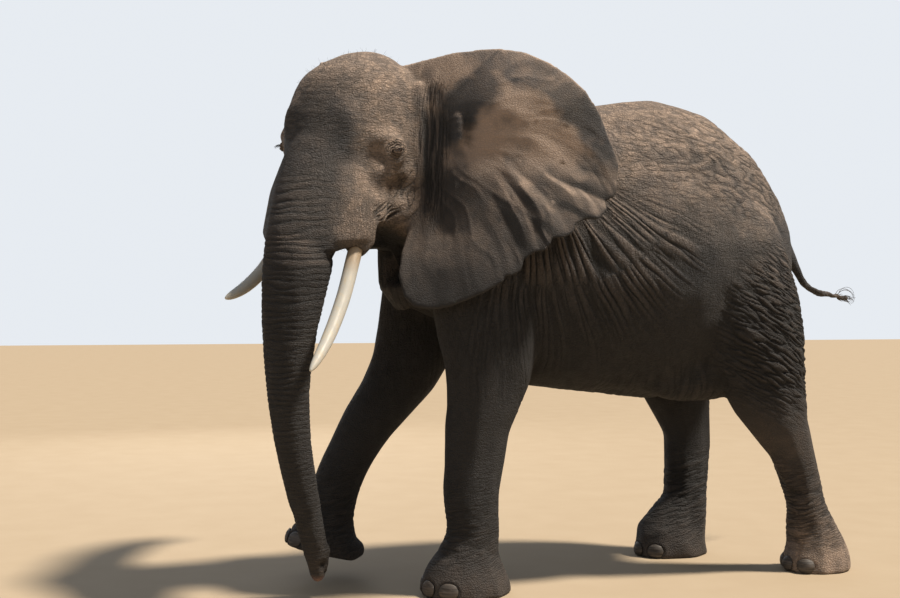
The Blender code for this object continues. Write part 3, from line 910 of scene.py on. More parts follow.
    def fan(self, p: Array, nor: Array) -> list[Lines]:
        """The long folds that fan out over the flank from behind the ear.

        Args:
            p: the skin's points.
            nor: its normals.

        Returns:
            The near folds and the finer ones beyond them.
        """
        u, v = p[:, 1] - self.fan_root[0], p[:, 2] - self.fan_root[1]
        r, turn = np.hypot(u, v), np.arctan2(-v, u)
        share = (self.zone["torso"] + 0.7 * self.zone["fore"]) * smooth(0.3, 0.7, np.abs(nor[:, 0]))
        far = np.interp(turn, (0.6, 0.9, 1.2, 1.6), (1.05, 1.15, 1.40, 1.60))
        share *= smooth(0.35, 0.6, r) * smooth(0.28, -0.28, r - far) * smooth(2.2, 1.7, turn)
        share *= (0.45 + 0.55 * smooth(1.25, 1.75, p[:, 2])) * (0.72 + 0.28 * noise(p / 0.3, 24))
        near = share > 0.01
        side = np.sign(p[near, 0] - 0.2) * 3.0
        bent = turn[near] + 0.20 * (r[near] - 0.8) + 0.014 * noise(p[near] / 0.22, 21)
        share[near] *= smooth(0.48, 0.70, bent)
        found = []
        for pitch, part in zip(self.fan_pitches, (smooth(1.0, 0.8, r), smooth(0.8, 1.0, r))):
            signed = np.full(len(p), NO_FOLD)
            at = np.column_stack([bent * 0.85 / pitch, r[near] / 0.62, side])
            signed[near] = noise(at, 22) / 0.21
            found.append(Lines(signed, share * part, self.fan_depth))
        return found

    def rings(self, p: Array, local: Array) -> Lines:
        """The rings round the trunk, wide apart at the top and close below.

        Args:
            p: the skin's points.
            local: the same points in the head's frame.

        Returns:
            The folds.
        """
        trunk = Limb(TRUNK)
        dx, dy, radius = trunk.around(p)
        front = (dx * self.head.forward[0] + dy * self.head.forward[1]) / np.maximum(radius, 0.03)
        on_face = hill(local[:, 1], 0.0, 0.22) * smooth(0.28, 0.38, local[:, 0]) * smooth(2.45, 2.25, local[:, 2])
        share = np.clip(self.zone["trunk"] + self.zone["head"] * on_face, 0.0, 1.0)
        z = np.clip(p[:, 2], 0.05, 2.6)
        pitch = self.ring_pitch + self.ring_growth * z
        turns = np.log(pitch) / self.ring_growth + 0.35 * np.clip(front, -1.0, 1.0)
        q = np.column_stack([dx / 0.14, dy / 0.14, z / 0.05])
        turns += 0.50 * noise(q, 31) + 0.6 * noise(q * (0.4, 0.4, 0.5), 32)
        depth = (0.45 + 0.55 * smooth(0.4, 1.9, z)) * (0.75 + 0.25 * noise(q * 0.5, 33))
        share = share * depth * smooth(0.13, 0.3, z) * smooth(2.42, 2.15, z)
        share *= 1.0 - 0.85 * smooth(0.19, 0.25, np.abs(local[:, 1])) * smooth(1.72, 1.84, z)
        return Lines(np.sin(np.pi * turns) / 0.5, share, self.ring_depth)

    def ear_frame(self, side: Side) -> tuple[Array, Array, Array, Array]:
        """The ear's root and axes.

        Args:
            side: which ear.

        Returns:
            The root, the way it faces, and its rearward and upward directions.
        """
        co = places(frame["nodes"][f"ear_{side.name.lower()}"])
        local = self.head.local(co)
        root_at = np.argsort(np.abs(local[:, 1]))[: len(co) // 10]
        root = co[root_at].mean(0)
        _, _, axes = np.linalg.svd(co - co.mean(0), full_matrices=False)
        facing = axes[2] * np.sign(axes[2] @ (self.head.forward + side.value * self.head.left * 0.3))
        rear = unit(co.mean(0) - root)
        rear = unit(rear - facing * (rear @ facing))
        return root, facing, rear, np.cross(facing, rear) * side.value

    def pleats(self, p: Array, side: Side) -> tuple[Array, Array]:
        """The ear's pleats, which fan out to its rear and lower edge, and its veins.

        Args:
            p: the skin's points.
            side: which ear.

        Returns:
            How far each point rises from the ear's face, and how the edge is drawn in.
        """
        root, _, rear, up = self.ear_frame(side)
        zone = self.zone[f"ear_{side.name.lower()}"]
        q = p - root
        a, b = q @ rear, q @ up
        rho, psi = np.hypot(a, b), np.arctan2(b, a)
        near = zone > 0.01
        rho, psi, zone = rho[near], psi[near], zone[near]
        seed = 41 if side is Side.LEFT else 45
        flat = np.zeros(len(rho))
        behind = 0.20 + 0.80 * np.exp(-(((psi - 0.14) / 0.42) ** 2))
        outer = smooth(0.45, 0.95, rho)
        bent = psi + 0.5 * smooth(-0.5, 0.1, psi) * (rho - 1.0) + 0.07 * noise(q[near] / 0.35, 6)
        wave = noise(np.column_stack([bent * 6.0, rho / 0.8, flat]), seed)
        fine = noise(np.column_stack([bent * 12.5, rho / 0.6, flat]), seed + 1)
        finest = noise(np.column_stack([bent * 26.0, rho / 0.4, flat]), seed + 3)
        height = sum(high * part for high, part in zip(self.pleat_heights, (wave, fine, finest)))
        height = height * outer * behind * smooth(0.95, 0.55, psi)
        height += 0.012 * noise(np.column_stack([a[near] / 0.3, b[near] / 0.3, flat]), seed + 2)
        vein = noise(np.column_stack([psi * 6.0 + 0.5 * noise(q[near] / 0.2, 5), rho / 0.8, flat + 9]), seed)
        height += 0.0022 * np.exp(-((vein / 0.07) ** 2)) * smooth(0.1, 0.3, rho)
        notch = np.exp(-((noise(np.column_stack([psi * 6.5, flat, flat + 4]), seed) / 0.20) ** 2))
        draw = -self.notch_depth * notch * smooth(0.70, 1.05, rho) * smooth(0.50, 0.35, psi) * smooth(-0.45, -0.15, psi)
        rise, away = np.zeros(len(p)), np.zeros((len(p), 3))
        rise[near] = height * zone
        away[near] = (rear * np.cos(psi)[:, None] + up * np.sin(psi)[:, None]) * (draw * zone)[:, None]
        return rise, away

    def thin(self) -> None:
        """Thins the mesh where it is plain and keeps it where it is creased."""
        co = places(self.skin)
        keep = 0.25 * self.zone["head"] + 0.25 * self.zone["trunk"]
        for eye in self.head.eyes.values():
            keep = np.maximum(keep, np.exp(-((np.linalg.norm(co - eye, axis=1) / 0.10) ** 2)))
        weigh(self.skin, "thinning", 1.0 - keep)
        triangles = sum(len(p.vertices) - 2 for p in self.skin.data.polygons)
        modify(self.skin, "DECIMATE", ratio=min(1.0, self.faces / triangles), vertex_group="thinning",
               vertex_group_factor=0.0006)
        self.skin.vertex_groups.clear()
        drop_specks(self.skin)

    def share(self, name: str, values: Array) -> None:
        """Keeps a share of 0 to 1 for each vertex."""
        record(self.skin, name, np.clip(values, 0.0, 1.0))

    def mark(self) -> None:
        """Keeps what the material reads, one number for each vertex at a time."""
        co, nor = places(self.skin), normals(self.skin)
        local = self.head.local(co)
        self.mark_hollows(co, nor)
        self.mark_folds(co, nor, local)
        self.mark_dust_and_light(co, nor, local)
        self.mark_lie(co, local)
        self.mark_shade_and_stains(co)
        self.mark_bands(co, local)

    def mark_hollows(self, co: Array, nor: Array) -> None:
        """Marks the hollows, above 0, which the material paints with shade, and the ridges, below 0, which it paints
        paler, as dust with painted light.

        Args:
            co: the skin's points.
            nor: its normals.
        """
        ends = links(self.skin)
        length = np.linalg.norm(co[ends[:, 0]] - co[ends[:, 1]], axis=1)
        size = np.bincount(ends.ravel(), np.repeat(length, 2), len(co)) / np.bincount(ends.ravel(), minlength=len(co))
        hollow = np.einsum("ij,ij->i", spread(co, ends, 1) - co, nor) / np.maximum(size, 1e-4)
        hollow = spread(hollow, ends, 1)
        rounded = 0.45 - 0.38 * self.ears() * smooth(2.55, 2.25, co[:, 2])
        hollow = hollow * np.where(hollow < 0.0, 4.0 * rounded, 4.0)
        # The valleys of the ear's pleats count as hollows, for painted shade.
        for side in Side:
            hollow += np.maximum(-self.pleats(co, side)[0], 0.0) / 0.022
        # The ridges of the eyelids' folds count as ridges, to be painted paler.
        for lids in self.lids:
            folds = lids.lines(co)
            over = smooth(-0.012, 0.004, lids.plane(co)[1])
            hollow -= folds.share * smooth(0.5, 1.5, np.abs(folds.signed)) * (0.15 + 0.85 * over)
        record(self.skin, "hollow", np.clip(hollow, -1.0, 1.0))

    def mark_folds(self, co: Array, nor: Array, local: Array) -> None:
        """Marks the place against the nearest groove of the family that shows most.

        Args:
            co: the skin's points.
            nor: its normals.
            local: the same points in the head's frame.
        """
        signed, shown = np.full(len(co), NO_FOLD), np.zeros(len(co))
        for lines in [*self.families(co, nor, local), *(lids.lines(co) for lids in self.lids)]:
            strong = lines.share * min(lines.depth / 0.005, 1.3)
            signed = np.where(strong > shown, lines.signed, signed)
            shown = np.maximum(strong, shown)
        record(self.skin, "fold", np.clip(signed, -3.0, 3.0))
        self.share("fold_share", shown)

    def mark_dust_and_light(self, co: Array, nor: Array, local: Array) -> None:
        """Marks dust with painted light on the tops and cheeks, painted shade low down and on the face's front, and
        painted light on the ears' tops.

        Args:
            co: the skin's points.
            nor: its normals.
            local: the same points in the head's frame.
        """
        z, ears = self.zone, self.ears()
        # Paler the more the skin faces up: partly real dust, partly painted light from above. Then real dust on the
        # feet.
        dust_and_light = smooth(0.0, 0.8, nor[:, 2]) * smooth(1.5, 2.4, co[:, 2])
        dust_and_light += 0.12 * smooth(0.45, 0.0, co[:, 2])
        left_hind = smooth(0.2, 0.8, co[:, 1]) * smooth(0.2, 0.5, co[:, 0])
        dust_and_light += left_hind * (0.14 * smooth(1.15, 0.7, co[:, 2]) + 0.62 * smooth(0.45, 0.05, co[:, 2]))
        # Painted shade on the face's front, which gets less of the pale colour, and painted light on the face's sides
        # (cheek).
        front = z["head"] * smooth(0.22, 0.38, local[:, 0]) * smooth(0.32, 0.16, np.abs(local[:, 1]))
        cheek = z["head"] * smooth(0.21, 0.30, np.abs(local[:, 1])) * smooth(1.85, 2.05, local[:, 2])
        self.share("dust_and_light", dust_and_light * (1.0 - 0.8 * front) + 0.55 * cheek)
        # Painted shade: darker towards the bottom of the body and of the ears, and on the trunk, the tail and the
        # face's front.
        low = smooth(2.15, 1.4, co[:, 2]) * (1.0 - ears) + 1.2 * smooth(2.60, 2.15, co[:, 2]) * ears
        low = np.maximum(low, z["trunk"] * smooth(2.3, 1.95, co[:, 2]) + 0.8 * z["tail"] + 0.4 * front)
        self.share("low", low)
        # Painted light: the ears' tops made paler.
        record(self.skin, "pale", np.clip(ears, 0.0, 1.0) * smooth(2.15, 2.5, co[:, 2]))

    def mark_lie(self, co: Array, local: Array) -> None:
        """Marks where the creases stand upright, and the ears, the limbs and the pleated roots of ear and tusk.

        Args:
            co: the skin's points.
            local: the same points in the head's frame.
        """
        z, ears = self.zone, self.ears()
        upright = z["neck"] + z["torso"] * smooth(1.1, 0.2, co[:, 1]) * smooth(2.3, 1.9, co[:, 2])
        sheath = mound(self.head.paired(co), (0.34, 0.31, 2.10), (0.15, 0.11, 0.20)) * z["head"]
        self.share("upright", upright + sheath)
        self.share("ear", ears)
        self.share("limb", z["trunk"] + z["fore"] + z["hind"] + z["feet"])
        root = hill(np.abs(local[:, 1]), 0.47, 0.10) * hill(local[:, 0], -0.13, 0.12)
        root *= smooth(1.95, 2.15, local[:, 2]) * smooth(2.98, 2.85, local[:, 2])
        root *= np.clip(ears + z["head"] + z["neck"], 0, 1)
        self.share("pleated", root + sheath)

    def mark_shade_and_stains(self, co: Array) -> None:
        """Marks the painted shade round the eyes, in the ear holes, by the mouth's corners and in the nostrils, the
        nails' dark rims, and the raw trunk tip.

        Args:
            co: the skin's points.
        """
        z, paired = self.zone, self.head.paired(co)
        stain = np.zeros(len(co))
        # Painted shade round the eyes, in the ear holes and in the hollows by the mouth's corners.
        for eye in self.head.eyes.values():
            stain = np.maximum(stain, 0.6 * np.exp(-((np.linalg.norm(co - eye, axis=1) / 0.032) ** 2)))
        stain = np.maximum(stain, 0.40 * mound(paired, (-0.17, 0.665, 2.62), (0.08, 0.030, 0.12)) * self.ears())
        stain = np.maximum(stain, 0.35 * mound(paired, (0.06, 0.36, 2.29), (0.13, 0.12, 0.07)) * z["head"])
        for claw in self.claws:
            stain = np.maximum(stain, 0.55 * hill(claw.rim(co), 1.05, 0.14))
        # Painted shade in the nostrils.
        nostrils = mound(co, (0.485, -1.640, 0.190), (0.06, 0.026, 0.028))
        stain = np.maximum(stain, 0.65 * nostrils * z["trunk"])
        record(self.skin, "stain", stain)
        record(self.skin, "tip", smooth(0.16, 0.10, co[:, 2]) * z["trunk"])

    def mark_bands(self, co: Array, local: Array) -> None:
        """Marks the ankles, the trunk and the thighs, whose fine creases run in bands.

        Args:
            co: the skin's points.
            local: the same points in the head's frame.
        """
        z = self.zone
        ankles = z["feet"] * smooth(0.06, 0.2, co[:, 2]) + (z["fore"] + z["hind"]) * smooth(0.85, 0.55, co[:, 2])
        self.share("ankle", ankles)
        self.share("trunk", z["trunk"] + z["head"] * hill(local[:, 1], 0.0, 0.2) * smooth(2.4, 2.2, local[:, 2]))
        away = [np.linalg.norm((co - (x, 1.2, 1.45)) / (0.7, 0.62, 0.66), axis=1) for x in (0.75, -0.35)]
        thigh = np.maximum(*(smooth(1.0, 0.5, each) for each in away))
        self.share("thigh", thigh * (z["torso"] + z["hind"]))


# --------------------------------------------------------------------------- materials


class Graph:
    """A material's nodes, added one by one."""

    def __init__(self, name: str) -> None:
        """Makes an empty material.

        Args:
            name: the material's name.
        """
        self.material = bpy.data.materials.new(name)
        self.material.use_nodes = True
        self.tree = self.material.node_tree
        self.tree.nodes.clear()

    def add(self, kind: str, settings: dict | None = None, **inputs: object) -> bpy.types.Node:
        """Adds a node.

        Args:
            kind: the node's type, without its ShaderNode.
            settings: its own settings.
            inputs: its sockets, by i and a number or by name with _ for a space, each a value or
                another node's output.

        Returns:
            The node.
        """
        node = self.tree.nodes.new("ShaderNode" + kind)
        for name, value in (settings or {}).items():
            setattr(node, name, value)
        for name, value in inputs.items():
            at = int(name[1:]) if name[0] == "i" and name[1:].isdigit() else name.replace("_", " ")
            if isinstance(value, Socket):
                self.tree.links.new(value, node.inputs[at])
            else:
                node.inputs[at].default_value = value
        return node

    def mix(self, share: object, a: object, b: object, blend: str = "MIX") -> Socket:
        """Mixes two colours by share."""
        node = self.add("Mix", {"data_type": "RGBA", "blend_type": blend}, i0=share, i6=a, i7=b)
        return node.outputs[2]

    def sum(self, a: object, b: object, operation: str = "ADD") -> Socket:
        """Does a sum with two numbers."""
        return self.add("Math", {"operation": operation}, i0=a, i1=b).outputs[0]

    def times(self, a: object, b: object) -> Socket:
        """Multiplies two numbers."""
        return self.sum(a, b, "MULTIPLY")

    def range(self, x: object, low: float, high: float, to: float = 0.0, end: float = 1.0) -> Socket:
        """Turns low..high into to..end, smoothly."""
        node = self.add("MapRange", {"interpolation_type": "SMOOTHSTEP"}, i0=x, i1=low, i2=high, i3=to, i4=end)
        return node.outputs[0]

    def named(self, name: str) -> Socket:
        """A number kept on the mesh."""
        return self.add("Attribute", {"attribute_name": name}).outputs["Fac"]

    def noise(self, at: Socket, scale: float, detail: float = 4.0) -> Socket:
        """Noise of that scale, in cells a metre."""
        return self.add("TexNoise", Vector=at, Scale=scale, Detail=detail).outputs[0]

    def lines(self, at: Socket, scale: tuple[float, float, float], width: float,
              lean: float = 0.0) -> Socket:
        """Thin wandering lines, 0 along each and 1 between them.

        Args:
            at: the coordinates.
            scale: how close they lie in x, y and z, in lines a metre.
            width: the share of a gap that a line takes.
            lean: how far the pattern is turned about the side-to-side axis.

        Returns:
            The pattern.
        """
        sizes = tuple(1.0 / each for each in scale)
        lie = self.add("Mapping", {"vector_type": "TEXTURE"}, Vector=at, Scale=sizes, Rotation=(lean, 0.0, 0.0))
        wave = self.add("TexNoise", Vector=lie.outputs[0], Scale=1.0, Detail=1.5, Distortion=0.4).outputs[0]
        away = self.add("Math", {"operation": "ABSOLUTE"}, i0=self.sum(wave, 0.5, "SUBTRACT")).outputs[0]
        return self.range(away, 0.0, width)

    def warp(self, at: Socket, scale: float, amount: float) -> Socket:
        """The coordinates shaken by up to amount, over distances of one scale-th of a metre.

        Args:
            at: the coordinates.
            scale: how fast the shake changes, in cells a metre.
            amount: how far it goes, in metres.

        Returns:
            The shaken coordinates.
        """
        shake = self.add("TexNoise", Vector=at, Scale=scale, Detail=2.0).outputs["Color"]
        centred = self.add("VectorMath", {"operation": "SUBTRACT"}, i0=shake, i1=(0.5, 0.5, 0.5)).outputs[0]
        small = self.add("VectorMath", {"operation": "SCALE"}, i0=centred, Scale=amount).outputs[0]
        return self.add("VectorMath", {"operation": "ADD"}, i0=at, i1=small).outputs[0]

    def cells(self, at: Socket, scale: tuple[float, float, float], width: float) -> Socket:
        """Skin cells with cracks between them, 0 in each crack and 1 on the cells.

        Args:
            at: the coordinates.
            scale: the cells in a metre of x, y and z.
            width: the share of a cell that its crack takes.

        Returns:
            The pattern.
        """
        lie = self.add("Mapping", Vector=at, Scale=scale).outputs[0]
        edge = self.add("TexVoronoi", {"feature": "DISTANCE_TO_EDGE"}, Vector=lie, Scale=1.0).outputs["Distance"]
        return self.range(edge, 0.0, width)

    def surface(self, **inputs: object) -> bpy.types.Material:
        """Ends the tree in one plain shader.

        Args:
            inputs: the shader's sockets, by name.

        Returns:
            The material.
        """
        shader = self.add("BsdfPrincipled", **inputs)
        self.add("OutputMaterial", Surface=shader.outputs[0])
        return self.material


def grey(value: float) -> tuple[float, float, float, float]:
    """A grey as a colour socket takes it."""
    return (value, value, value, 1.0)


def tint(r: float, g: float, b: float) -> tuple[float, float, float, float]:
    """A colour given as seen, from 0 to 255, made linear."""
    linear = [(c / 255 / 12.92) if c < 10.3 else ((c / 255 + 0.055) / 1.055) ** 2.4 for c in (r, g, b)]
    return (*linear, 1.0)


@dataclass(frozen=True)
class HideFinish:
    """Dry, cracked elephant skin with dust, painted light on its tops and ridges, and painted shade in its cracks,
    creases, hollows and lower parts.
    """

    # The dark of the painted shade in cracks, grooves and hollows, round the eyes, in ear holes and nostrils, and of
    # the nails' rims.
    deep: Colour = (28, 27, 26)
    plain: Colour = (74, 71, 69)
    cool: Colour = (60, 62, 66)
    # Painted shade on the lower parts.
    low: Colour = (46, 45, 45)
    # Dust, which also stands for painted light on the tops, the cheeks and the ridges.
    dusty_lit: Colour = (168, 147, 130)
    raw: Colour = (128, 98, 88)

    def material(self) -> bpy.types.Material:
        """Builds the skin.

        Returns:
            The material.
        """
        g = Graph("elephant_hide")
        at = g.add("TexCoord").outputs["Object"]
        coarse = self.creases(g, at)
        small = g.cells(g.warp(at, 30.0, 0.014), (62.0, 62.0, 84.0), 0.22)
        small = g.mix(g.times(g.named("ear"), 0.5), small, grey(1.0))
        motes = g.noise(at, 14.0, 6.0)
        wander = g.sum(g.noise(at, 45.0, 2.0), 0.5, "SUBTRACT")
        fold = g.sum(g.named("fold"), g.times(wander, 0.9))
        fold = g.add("Math", {"operation": "ABSOLUTE"}, i0=fold).outputs[0]
        groove = g.times(g.range(fold, 0.0, 1.1, 1.0, 0.0), g.named("fold_share"))
        base = self.dust_light_and_shade(g, at, motes)
        # Painted shade: the cracks and the grooves of the folds darkened.
        crack = g.sum(g.range(coarse, 0.0, 1.0, 0.55, 0.0), g.range(small, 0.0, 1.0, 0.28, 0.0), "MAXIMUM")
        base = g.mix(crack, base, tint(*self.deep))
        base = g.mix(g.times(groove, 0.75), base, tint(*self.deep))
        # The crests of the folds made paler: dust and painted light, less of it where the painted shade lies.
        crest = g.times(g.range(fold, 0.9, 1.9, 0.0, 0.14), g.named("fold_share"))
        crest = g.times(crest, g.range(g.named("low"), 0.0, 1.0, 1.0, 0.15))
        base = g.mix(crest, base, tint(*self.dusty_lit))
        # Painted shade round the eyes, in the ear holes, by the mouth and in the nostrils, and the nails' dark rims.
        base = g.mix(g.range(g.named("stain"), 0.1, 0.9, 0.0, 0.85), base, tint(*self.deep))
        base = g.mix(g.range(g.named("tip"), 0.2, 1.0, 0.0, 0.7), base, tint(*self.raw))
        height = g.sum(g.times(coarse, 0.9), g.times(small, 0.45))
        tiny, grain = g.cells(at, (170.0, 170.0, 190.0), 0.3), g.noise(at, 420.0, 3.0)
        for part, share in ((tiny, 0.12), (grain, 0.12), (motes, 0.4)):
            height = g.sum(height, g.times(part, share))
        height = g.sum(height, g.times(groove, 1.1), "SUBTRACT")
        relief = g.add("Bump", Height=height, Strength=0.9, Distance=0.006).outputs[0]
        rough = g.range(motes, 0.2, 0.8, 0.72, 0.92)
        return g.surface(Base_Color=base, Roughness=rough, Normal=relief, Specular_IOR_Level=0.3)

    def creases(self, g: Graph, at: Socket) -> Socket:
        """The network of coarse creases, which lies level or upright and in bands by the place on the body.

        Args:
            g: the material's nodes.
            at: the coordinates.

        Returns:
            The pattern, 0 in each crease and 1 between them.
        """
        level = g.lines(at, (11.0, 11.0, 46.0), 0.05)
        plumb = g.lines(at, (46.0, 46.0, 9.0), 0.05)
        loose = g.lines(at, (24.0, 24.0, 30.0), 0.04)
        mosaic = g.cells(g.warp(at, 14.0, 0.035), (21.0, 21.0, 36.0), 0.16)
        coarse = g.mix(g.named("upright"), g.times(level, g.range(plumb, 0.0, 1.0, 0.6)),
                       g.times(plumb, g.range(level, 0.0, 1.0, 0.6)))
        coarse = g.times(coarse, g.range(loose, 0.0, 1.0, 0.5))
        coarse = g.times(coarse, g.mix(g.times(g.named("dust_and_light"), 0.8), grey(1.0), mosaic))
        calm = g.sum(g.times(g.named("ear"), 0.85), g.times(g.named("limb"), 0.6), "MAXIMUM")
        coarse = g.mix(calm, coarse, grey(1.0))
        for place, share, scale, width, lean in (
            ("pleated", 1.0, (70.0, 70.0, 5.0), 0.11, 0.0),
            ("thigh", 1.0, (10.0, 9.0, 62.0), 0.11, -0.5),
            ("ankle", 1.0, (9.0, 9.0, 80.0), 0.10, 0.2),
            ("trunk", 0.75, (8.0, 8.0, 90.0), 0.12, 0.0),
        ):
            pattern = g.lines(at, scale, width, lean)
            coarse = g.times(coarse, g.mix(g.times(g.named(place), share), grey(1.0), pattern))
        return coarse

    def dust_light_and_shade(self, g: Graph, at: Socket, motes: Socket) -> Socket:
        """The skin's colour before any crease is drawn: its dust with painted light, and painted shade low down and in
        the hollows.

        Args:
            g: the material's nodes.
            at: the coordinates.
            motes: the noise that breaks the dust up.

        Returns:
            The colour.
        """
        patches = g.noise(at, 2.1, 5.0)
        base = g.mix(g.range(patches, 0.35, 0.65), tint(*self.plain), tint(*self.cool))
        # Painted shade on the lower parts.
        base = g.mix(g.named("low"), base, tint(*self.low))
        # Dust with painted light on the tops and cheeks.
        dust_and_light = g.times(g.named("dust_and_light"), g.range(motes, 0.3, 0.75, 0.5, 1.1))
        # Painted light on the ears' tops, broken up in patches.
        pale = g.times(g.named("pale"), g.range(g.noise(at, 3.2, 3.0), 0.42, 0.62, 0.0, 0.75))
        base = g.mix(g.sum(dust_and_light, pale, "MAXIMUM"), base, tint(*self.dusty_lit))
        hollow = g.named("hollow")
        # Painted shade in the hollows.
        base = g.mix(g.range(hollow, 0.02, 0.7, 0.0, 0.7), base, tint(*self.deep))
        # Ridges made paler: dust and painted light.
        return g.mix(g.range(hollow, -0.05, -0.9, 0.0, 0.7), base, tint(*self.dusty_lit))


@dataclass(frozen=True)
class IvoryFinish:
    """Worn ivory, stained at the lip."""

    white: Colour = (178, 175, 166)
    cream: Colour = (186, 172, 146)
    stain: Colour = (148, 126, 98)

    def material(self) -> bpy.types.Material:
        """Builds the ivory.

        Returns:
            The material.
        """
        g = Graph("tusk_ivory")
        at = g.add("TexCoord").outputs["Object"]
        streaks = g.noise(g.add("Mapping", Vector=at, Scale=(9.0, 9.0, 2.0)).outputs[0], 4.0, 6.0)
        base = g.mix(g.range(streaks, 0.45, 0.75, 0.0, 0.6), tint(*self.white), tint(*self.cream))
        base = g.mix(g.named("root"), base, tint(*self.stain))
        relief = g.add("Bump", Height=g.noise(at, 60.0, 5.0), Strength=0.25, Distance=0.002).outputs[0]
        rough = g.range(streaks, 0.3, 0.8, 0.28, 0.5)
        return g.surface(Base_Color=base, Roughness=rough, Normal=relief, Subsurface_Weight=0.08,
                         Subsurface_Radius=(0.02, 0.012, 0.008))


@dataclass(frozen=True)
class NailFinish:
    """Dull horn in bands, with dirt in its grooves."""

    horn: Colour = (80, 72, 65)
    dirt: Colour = (54, 49, 44)

    def material(self) -> bpy.types.Material:
        """Builds the horn.

        Returns:
            The material.
        """
        g = Graph("toenail_horn")
        at = g.add("TexCoord").outputs["Object"]
        bands = g.noise(g.add("Mapping", Vector=at, Scale=(6.0, 6.0, 60.0)).outputs[0], 2.0, 4.0)
        base = g.mix(g.range(bands, 0.35, 0.65), tint(*self.dirt), tint(*self.horn))
        relief = g.add("Bump", Height=bands, Strength=0.8, Distance=0.003).outputs[0]
        rough = g.range(bands, 0.3, 0.7, 0.7, 0.5)
        return g.surface(Base_Color=base, Roughness=rough, Normal=relief)


@dataclass(frozen=True)
class EyeFinish:
    """A wet brown eye."""

    white: Colour = (46, 36, 31)
    iris: Colour = (78, 48, 26)
    streak: Colour = (40, 24, 14)
    pupil: Colour = (6, 5, 5)

    def material(self) -> bpy.types.Material:
        """Builds the eyeball.

        Returns:
            The material.
        """
        g = Graph("wet_eye")
        off = g.named("off_axis")
        at = g.add("TexCoord").outputs["Object"]
        streaks = g.noise(at, 260.0, 3.0)
        iris = g.mix(g.range(streaks, 0.35, 0.65), tint(*self.iris), tint(*self.streak))
        base = g.mix(g.range(off, 0.52, 0.60), iris, tint(*self.white))
        base = g.mix(g.range(off, 0.26, 0.22), base, tint(*self.pupil))
        rough = g.range(off, 0.5, 0.9, 0.06, 0.16)
        return g.surface(Base_Color=base, Roughness=rough, Coat_Weight=1.0, Coat_Roughness=0.03)


@dataclass(frozen=True)
class HairFinish:
    """Coarse black-brown hair."""

    root: Colour = (20, 18, 17)
    tip: Colour = (38, 33, 30)

    def material(self) -> bpy.types.Material:
        """Builds the hair.

        Returns:
            The material.
        """
        g = Graph("wire_hair")
        at = g.add("TexCoord").outputs["Object"]
        base = g.mix(g.noise(at, 30.0, 2.0), tint(*self.root), tint(*self.tip))
        return g.surface(Base_Color=base, Roughness=g.range(g.noise(at, 90.0, 2.0), 0.3, 0.7, 0.4, 0.6))


# --------------------------------------------------------------------------- separate pieces


@dataclass
class Eye:
    """One eyeball, set in its lids."""

    side: Side
    head: Head
    finish: bpy.types.Material

    def build(self) -> bpy.types.Object:
        """Shapes the ball, with its cornea standing out.

        Returns:
            The piece.
        """
        name = f"eye_{self.side.name.lower()}"
        low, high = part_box(name)
        centre, radius = (low + high) / 2, (high - low).length / math.sqrt(12)
        deselect()
        bpy.ops.mesh.primitive_uv_sphere_add(segments=48, ring_count=32, radius=radius, location=(0, 0, 0))
        ball = bpy.context.object
        ball.name = ball.data.name = f"eyeball_{self.side.name.lower()}"
        co = places(ball)
        off = np.arccos(np.clip(co[:, 2] / radius, -1, 1))
        co *= (1.0 + 0.06 * smooth(0.62, 0.2, off))[:, None]
        turn = np.array(Vector(self.head.look(self.side)).to_track_quat("Z", "Y").to_matrix())
        put(ball, co @ turn.T + np.array(centre))
        record(ball, "off_axis", off)
        ball.data.materials.append(self.finish)
        return finish_piece(ball, [name])


@dataclass
class Tusk:
    """One tusk of worn ivory."""

    side: Side
    finish: bpy.types.Material

    def build(self) -> bpy.types.Object:
        """Rounds the CAD tusk.

        Returns:
            The piece.
        """
        node = f"tusk_{self.side.name.lower()}"
        tusk = copy_nodes([node], f"ivory_{self.side.name.lower()}")
        modify(tusk, "SUBSURF", levels=2, render_levels=2)
        modify(tusk, "SMOOTH", factor=0.5, iterations=6)
        co = places(tusk)
        top = co[:, 2].max()
        record(tusk, "root", smooth(top - 0.30, top - 0.16, co[:, 2]) * 0.8)
        tusk.data.materials.append(self.finish)
        return finish_piece(tusk, [node])


@dataclass
class Nail:
    """One toenail with growth grooves, laid on the foot's skin."""

    claw: Claw
    skin: BVHTree
    finish: bpy.types.Material
    thick: float = 0.009

    def build(self) -> bpy.types.Object:
        """Lays a rounded plate on the skin and domes it.

        Returns:
            The piece.
        """
        deselect()
        bpy.ops.mesh.primitive_grid_add(x_subdivisions=30, y_subdivisions=24, size=2.0, location=(0, 0, 0))
        nail = bpy.context.object
        nail.name = nail.data.name = self.claw.node.replace("nail", "toenail")
        grid = places(nail)
        u, v = grid[:, 0], grid[:, 1]
        across, rise = u * np.sqrt(1.0 - v * v / 2), v * np.sqrt(1.0 - u * u / 2)
        rim = np.hypot(across, rise)
        spot = self.claw.middle + self.claw.side * (across * self.claw.half)[:, None]
        spot[:, 2] += rise * self.claw.tall
        spot[:, 2] = np.maximum(spot[:, 2], 0.004)
        far = spot + self.claw.out * 0.10
        depth = np.array([(self.skin.ray_cast(p, -self.claw.out, 0.18)[3] or 0.10) for p in far])
        depth = spread(depth, links(nail), 12)
        grooves = noise(np.column_stack([across * 0.7, rise * 5.5, np.full(len(rise), 3.3)]), 61)
        stand = 0.0040 * (1.0 - rim**6) - 0.003 * rim**6 + 0.0016 * grooves * (1.0 - rim**4)
        put(nail, far - self.claw.out * (depth - stand)[:, None])
        nail.data.flip_normals()
        modify(nail, "SOLIDIFY", thickness=self.thick, offset=-1.0)
        bpy.ops.object.mode_set(mode="EDIT")
        bpy.ops.mesh.select_all(action="SELECT")
        bpy.ops.mesh.normals_make_consistent(inside=False)
        bpy.ops.object.mode_set(mode="OBJECT")
        nail.data.materials.append(self.finish)
        return finish_piece(nail, [self.claw.node])


